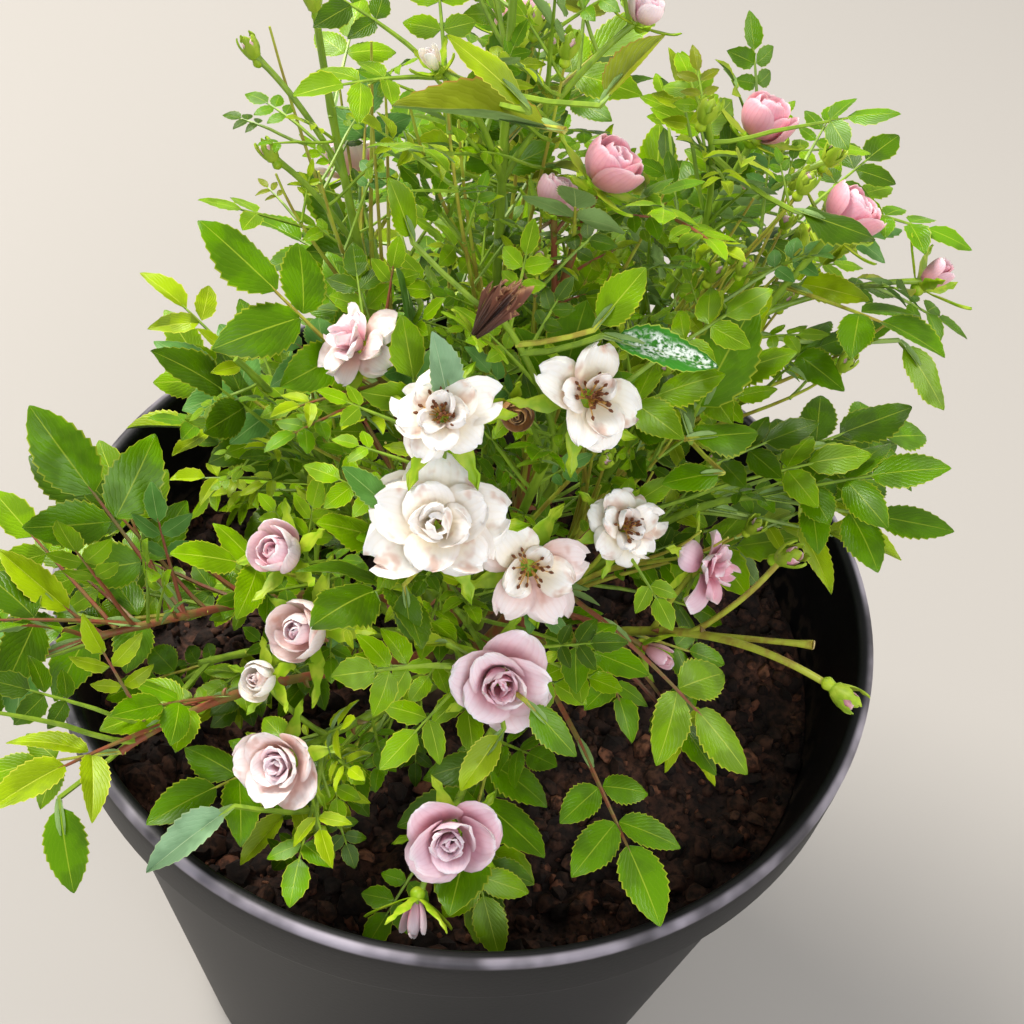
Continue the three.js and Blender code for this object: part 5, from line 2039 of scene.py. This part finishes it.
    @staticmethod
    def upright(bloom: Bloom, heights: Array, radii: Array) -> tuple[Array, Array]:
        """A rod's path and radii along the way a bloom faces, from ones in the bloom's own radius."""
        return bloom.centre + bloom.facing * (heights * bloom.radius)[:, None], radii * bloom.radius

    def cup(self, bloom: Bloom) -> tuple[Array, Array]:
        """The green seed cup below a bloom, as a rod's path and radii."""
        closed = bloom.opening in SEPAL_KEYS
        low, high, wide = (-1.25, -0.62, 0.36) if closed else (-0.92, -0.36, 0.22)
        heights = low + (high - low) * np.linspace(0, 1, 7)
        return self.upright(bloom, heights, wide * np.array([0.35, 0.72, 0.95, 1.0, 0.95, 0.85, 0.8]))

    def core(self, bloom: Bloom) -> tuple[Array, Array]:
        """The body of a shut bud, as a rod's path and radii: an egg with a narrow top."""
        share = np.linspace(0, 1, 7)
        egg = 0.56 * np.sqrt(np.clip(1 - (2 * share**0.8 - 1) ** 2, 0.02, 1)) * (1 - 0.3 * share)
        return self.upright(bloom, -0.75 + 1.75 * share, egg)

    def stamens(self, bloom: Bloom, axes: Array, rng: Draws) -> list[Surface]:
        """A ring of thin filaments that curve outwards, each with an anther at its tip.

        Args:
            bloom: The bloom.
            axes: Its own axes, as rows.
            rng: The stream of draws.

        Returns:
            The filaments and the anthers.
        """
        n = bloom.stamens
        turn = rng.uniform(0, 2 * math.pi, n)
        lean = np.radians(rng.uniform(25, 80, n))
        long = rng.uniform(0.3, 0.5, n)
        share = np.linspace(0, 1, 5)[None, :]
        bow = lean[:, None] + 0.4 * (1 - share)
        out = 0.05 + long[:, None] * np.cumsum(np.cos(bow), 1) / 5
        high = -0.16 + long[:, None] * np.cumsum(np.sin(bow), 1) / 5
        local = np.stack([out * np.cos(turn)[:, None], out * np.sin(turn)[:, None], high], -1)
        path = bloom.centre + (local * bloom.radius) @ axes
        threads = rods(path, np.full((n, 5), self.filament), 4, np.zeros(n, int))
        along = unit(path[:, -1:] - path[:, -2:-1])
        tip = path[:, -1:] + along * np.array([-0.3, 0.1, 0.5])[None, :, None]
        anthers = rods(tip, np.tile([0.1, 0.28, 0.12], (n, 1)), 5, np.ones(n, int))
        return [threads, anthers]

    def build(self) -> None:
        """Makes every bloom's petals, its green parts and its stamens."""
        petal_grids, petal_finish, green_grids, green_finish = [], [], [], []
        cups, bodies, stamens, thick = [], [], [], []
        for index, bloom in enumerate(self.bush.blooms):
            rng = np.random.default_rng(self.seed + index)
            axes = self.frame_of(bloom, rng.uniform(0, 2 * math.pi))
            shut = bloom.opening is Opening.SHUT
            grid, tints = self.petals(bloom, rng)
            petal_grids.append(bloom.centre + (grid * bloom.radius) @ axes)
            petal_finish.append(tints)
            thick.append(np.full(len(tints), min(0.3, 0.05 * bloom.radius)))
            green = self.sepals(bloom, rng)
            green_grids.append(bloom.centre + (green * bloom.radius) @ axes)
            green_finish.append(np.full(self.sepals_each, int(shut)))
            cups.append(self.cup(bloom))
            if shut:
                bodies.append(self.core(bloom))
            if bloom.stamens:
                stamens += self.stamens(bloom, axes, rng)
        applied = np.concatenate(petal_finish)
        petals = blades(np.concatenate(petal_grids), np.concatenate(thick), applied, applied)
        green = np.concatenate(green_finish)
        sepals = blades(np.concatenate(green_grids), 0.28, green, green)
        paths = [path for path, _ in cups + bodies]
        radii = [radius for _, radius in cups + bodies]
        finish = np.array([0] * len(cups) + [1] * len(bodies))
        green_parts = joined([sepals, rods(np.array(paths), np.array(radii), 10, finish)])
        shoots = [g.shoot for g in self.bush.grown]
        masses = [f"mass_{shoot.name}" for shoot in shoots if shoot.blooms]
        Piece("petals", petals, PETAL_FINISHES.values(), masses, "blossom", sharp=50)
        Piece("sepals_and_cups", green_parts, SEPAL_FINISHES, masses, "foliage", sharp=50)
        bearing = [f"mass_{shoot.name}" for shoot in shoots if any(b.stamens for b in shoot.blooms)]
        Piece("stamens", joined(stamens), STAMEN_FINISHES, bearing, "blossom")


# The studio.


@dataclass(frozen=True)
class Lamp:
    """A square area light that looks at the bush; places and sizes in metres, power in watts."""

    name: str
    place: Triple
    size: float
    power: float
    colour: str
    target: Triple = (0, 0, 0.15)

    def build(self) -> None:
        """Adds the lamp to the scene."""
        data = bpy.data.lights.new(self.name, "AREA")
        data.energy = self.power
        data.size = self.size
        data.color = linear(self.colour)[:3]
        lamp = bpy.data.objects.new(self.name, data)
        lamp.location = self.place
        aim = Vector(self.target) - Vector(self.place)
        lamp.rotation_euler = aim.to_track_quat("-Z", "Y").to_euler()
        bpy.context.scene.collection.objects.link(lamp)


LAMPS = (
    Lamp("window", (-0.55, 0.35, 0.95), 0.5, 19.0, "#fffaf2"),
    Lamp("front", (0.35, -0.9, 0.8), 0.8, 8.0, "#fbfbff"),
    Lamp("side", (0.9, 0.3, 0.6), 0.6, 4.5, "#fff6ea"),
)


@dataclass(frozen=True)
class Studio:
    """A pale floor, soft lights and the camera, at the photograph's own place and roll.

    The camera's distance and shift are in millimetres, the floor's half width in metres.
    """

    elevation: float = 49.0
    roll: float = 8.8
    distance: float = 312.3
    shift: Pair = (7.7, 13.2)
    lens: float = 60.0
    sensor: float = 36.0
    floor: float = 4.0
    sky: float = 0.5

    def camera(self) -> None:
        """Sets the camera over the rim, looking down at it and rolled a little."""
        high, roll = math.radians(self.elevation), math.radians(self.roll)
        back = np.array([0, -math.cos(high), math.sin(high)])
        right = np.array([1.0, 0, 0])
        up = np.cross(back, right)
        rolled_right = math.cos(roll) * right + math.sin(roll) * up
        rolled_up = math.cos(roll) * up - math.sin(roll) * right
        eye = back * self.distance + rolled_right * self.shift[0] + rolled_up * self.shift[1]
        eye = eye + np.array([0, 0, POT.height])
        data = bpy.data.cameras.new("camera")
        data.lens = self.lens
        data.sensor_width = self.sensor
        data.clip_start = 0.01
        camera = bpy.data.objects.new("camera", data)
        matrix = np.eye(4)
        matrix[:3, :3] = np.stack([rolled_right, rolled_up, back], -1)
        matrix[:3, 3] = eye * MM
        camera.matrix_world = Matrix(matrix.tolist())
        bpy.context.scene.collection.objects.link(camera)
        bpy.context.scene.camera = camera

    def build(self) -> None:
        """Adds the camera, the floor, the sky's even light and the lamps."""
        self.camera()
        mesh = bpy.data.meshes.new("studio_floor")
        wide = self.floor
        corners = [(-wide, -wide, 0), (wide, -wide, 0), (wide, wide, 0), (-wide, wide, 0)]
        mesh.from_pydata(corners, [], [(0, 1, 2, 3)])
        mesh.materials.append(Finish("pale_floor", "#a8a49f", 0.8).build())
        floor = bpy.data.objects.new("studio_floor", mesh)
        bpy.context.scene.collection.objects.link(floor)
        world = bpy.data.worlds.new("soft_sky")
        world.use_nodes = True
        sky = world.node_tree.nodes["Background"]
        sky.inputs["Color"].default_value = linear("#e9eef2")
        sky.inputs["Strength"].default_value = self.sky
        bpy.context.scene.world = world
        for lamp in LAMPS:
            lamp.build()
        bpy.context.scene.view_settings.view_transform = "Standard"


def main() -> None:
    """Grows the bush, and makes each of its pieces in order."""
    logging.basicConfig(level=logging.INFO, format="%(message)s")
    Studio().build()
    bush = RoseBush()
    bush.grow_side_stems(seed=78)
    bush.grow_finer(per_mm=0.5, seed=77)
    PotShell().build()
    PottingSoil().build()
    WoodyStock().build()
    Canes(bush).build()
    Foliage(bush).build()
    Blossom(bush).build()


if __name__ == "__main__":
    main()
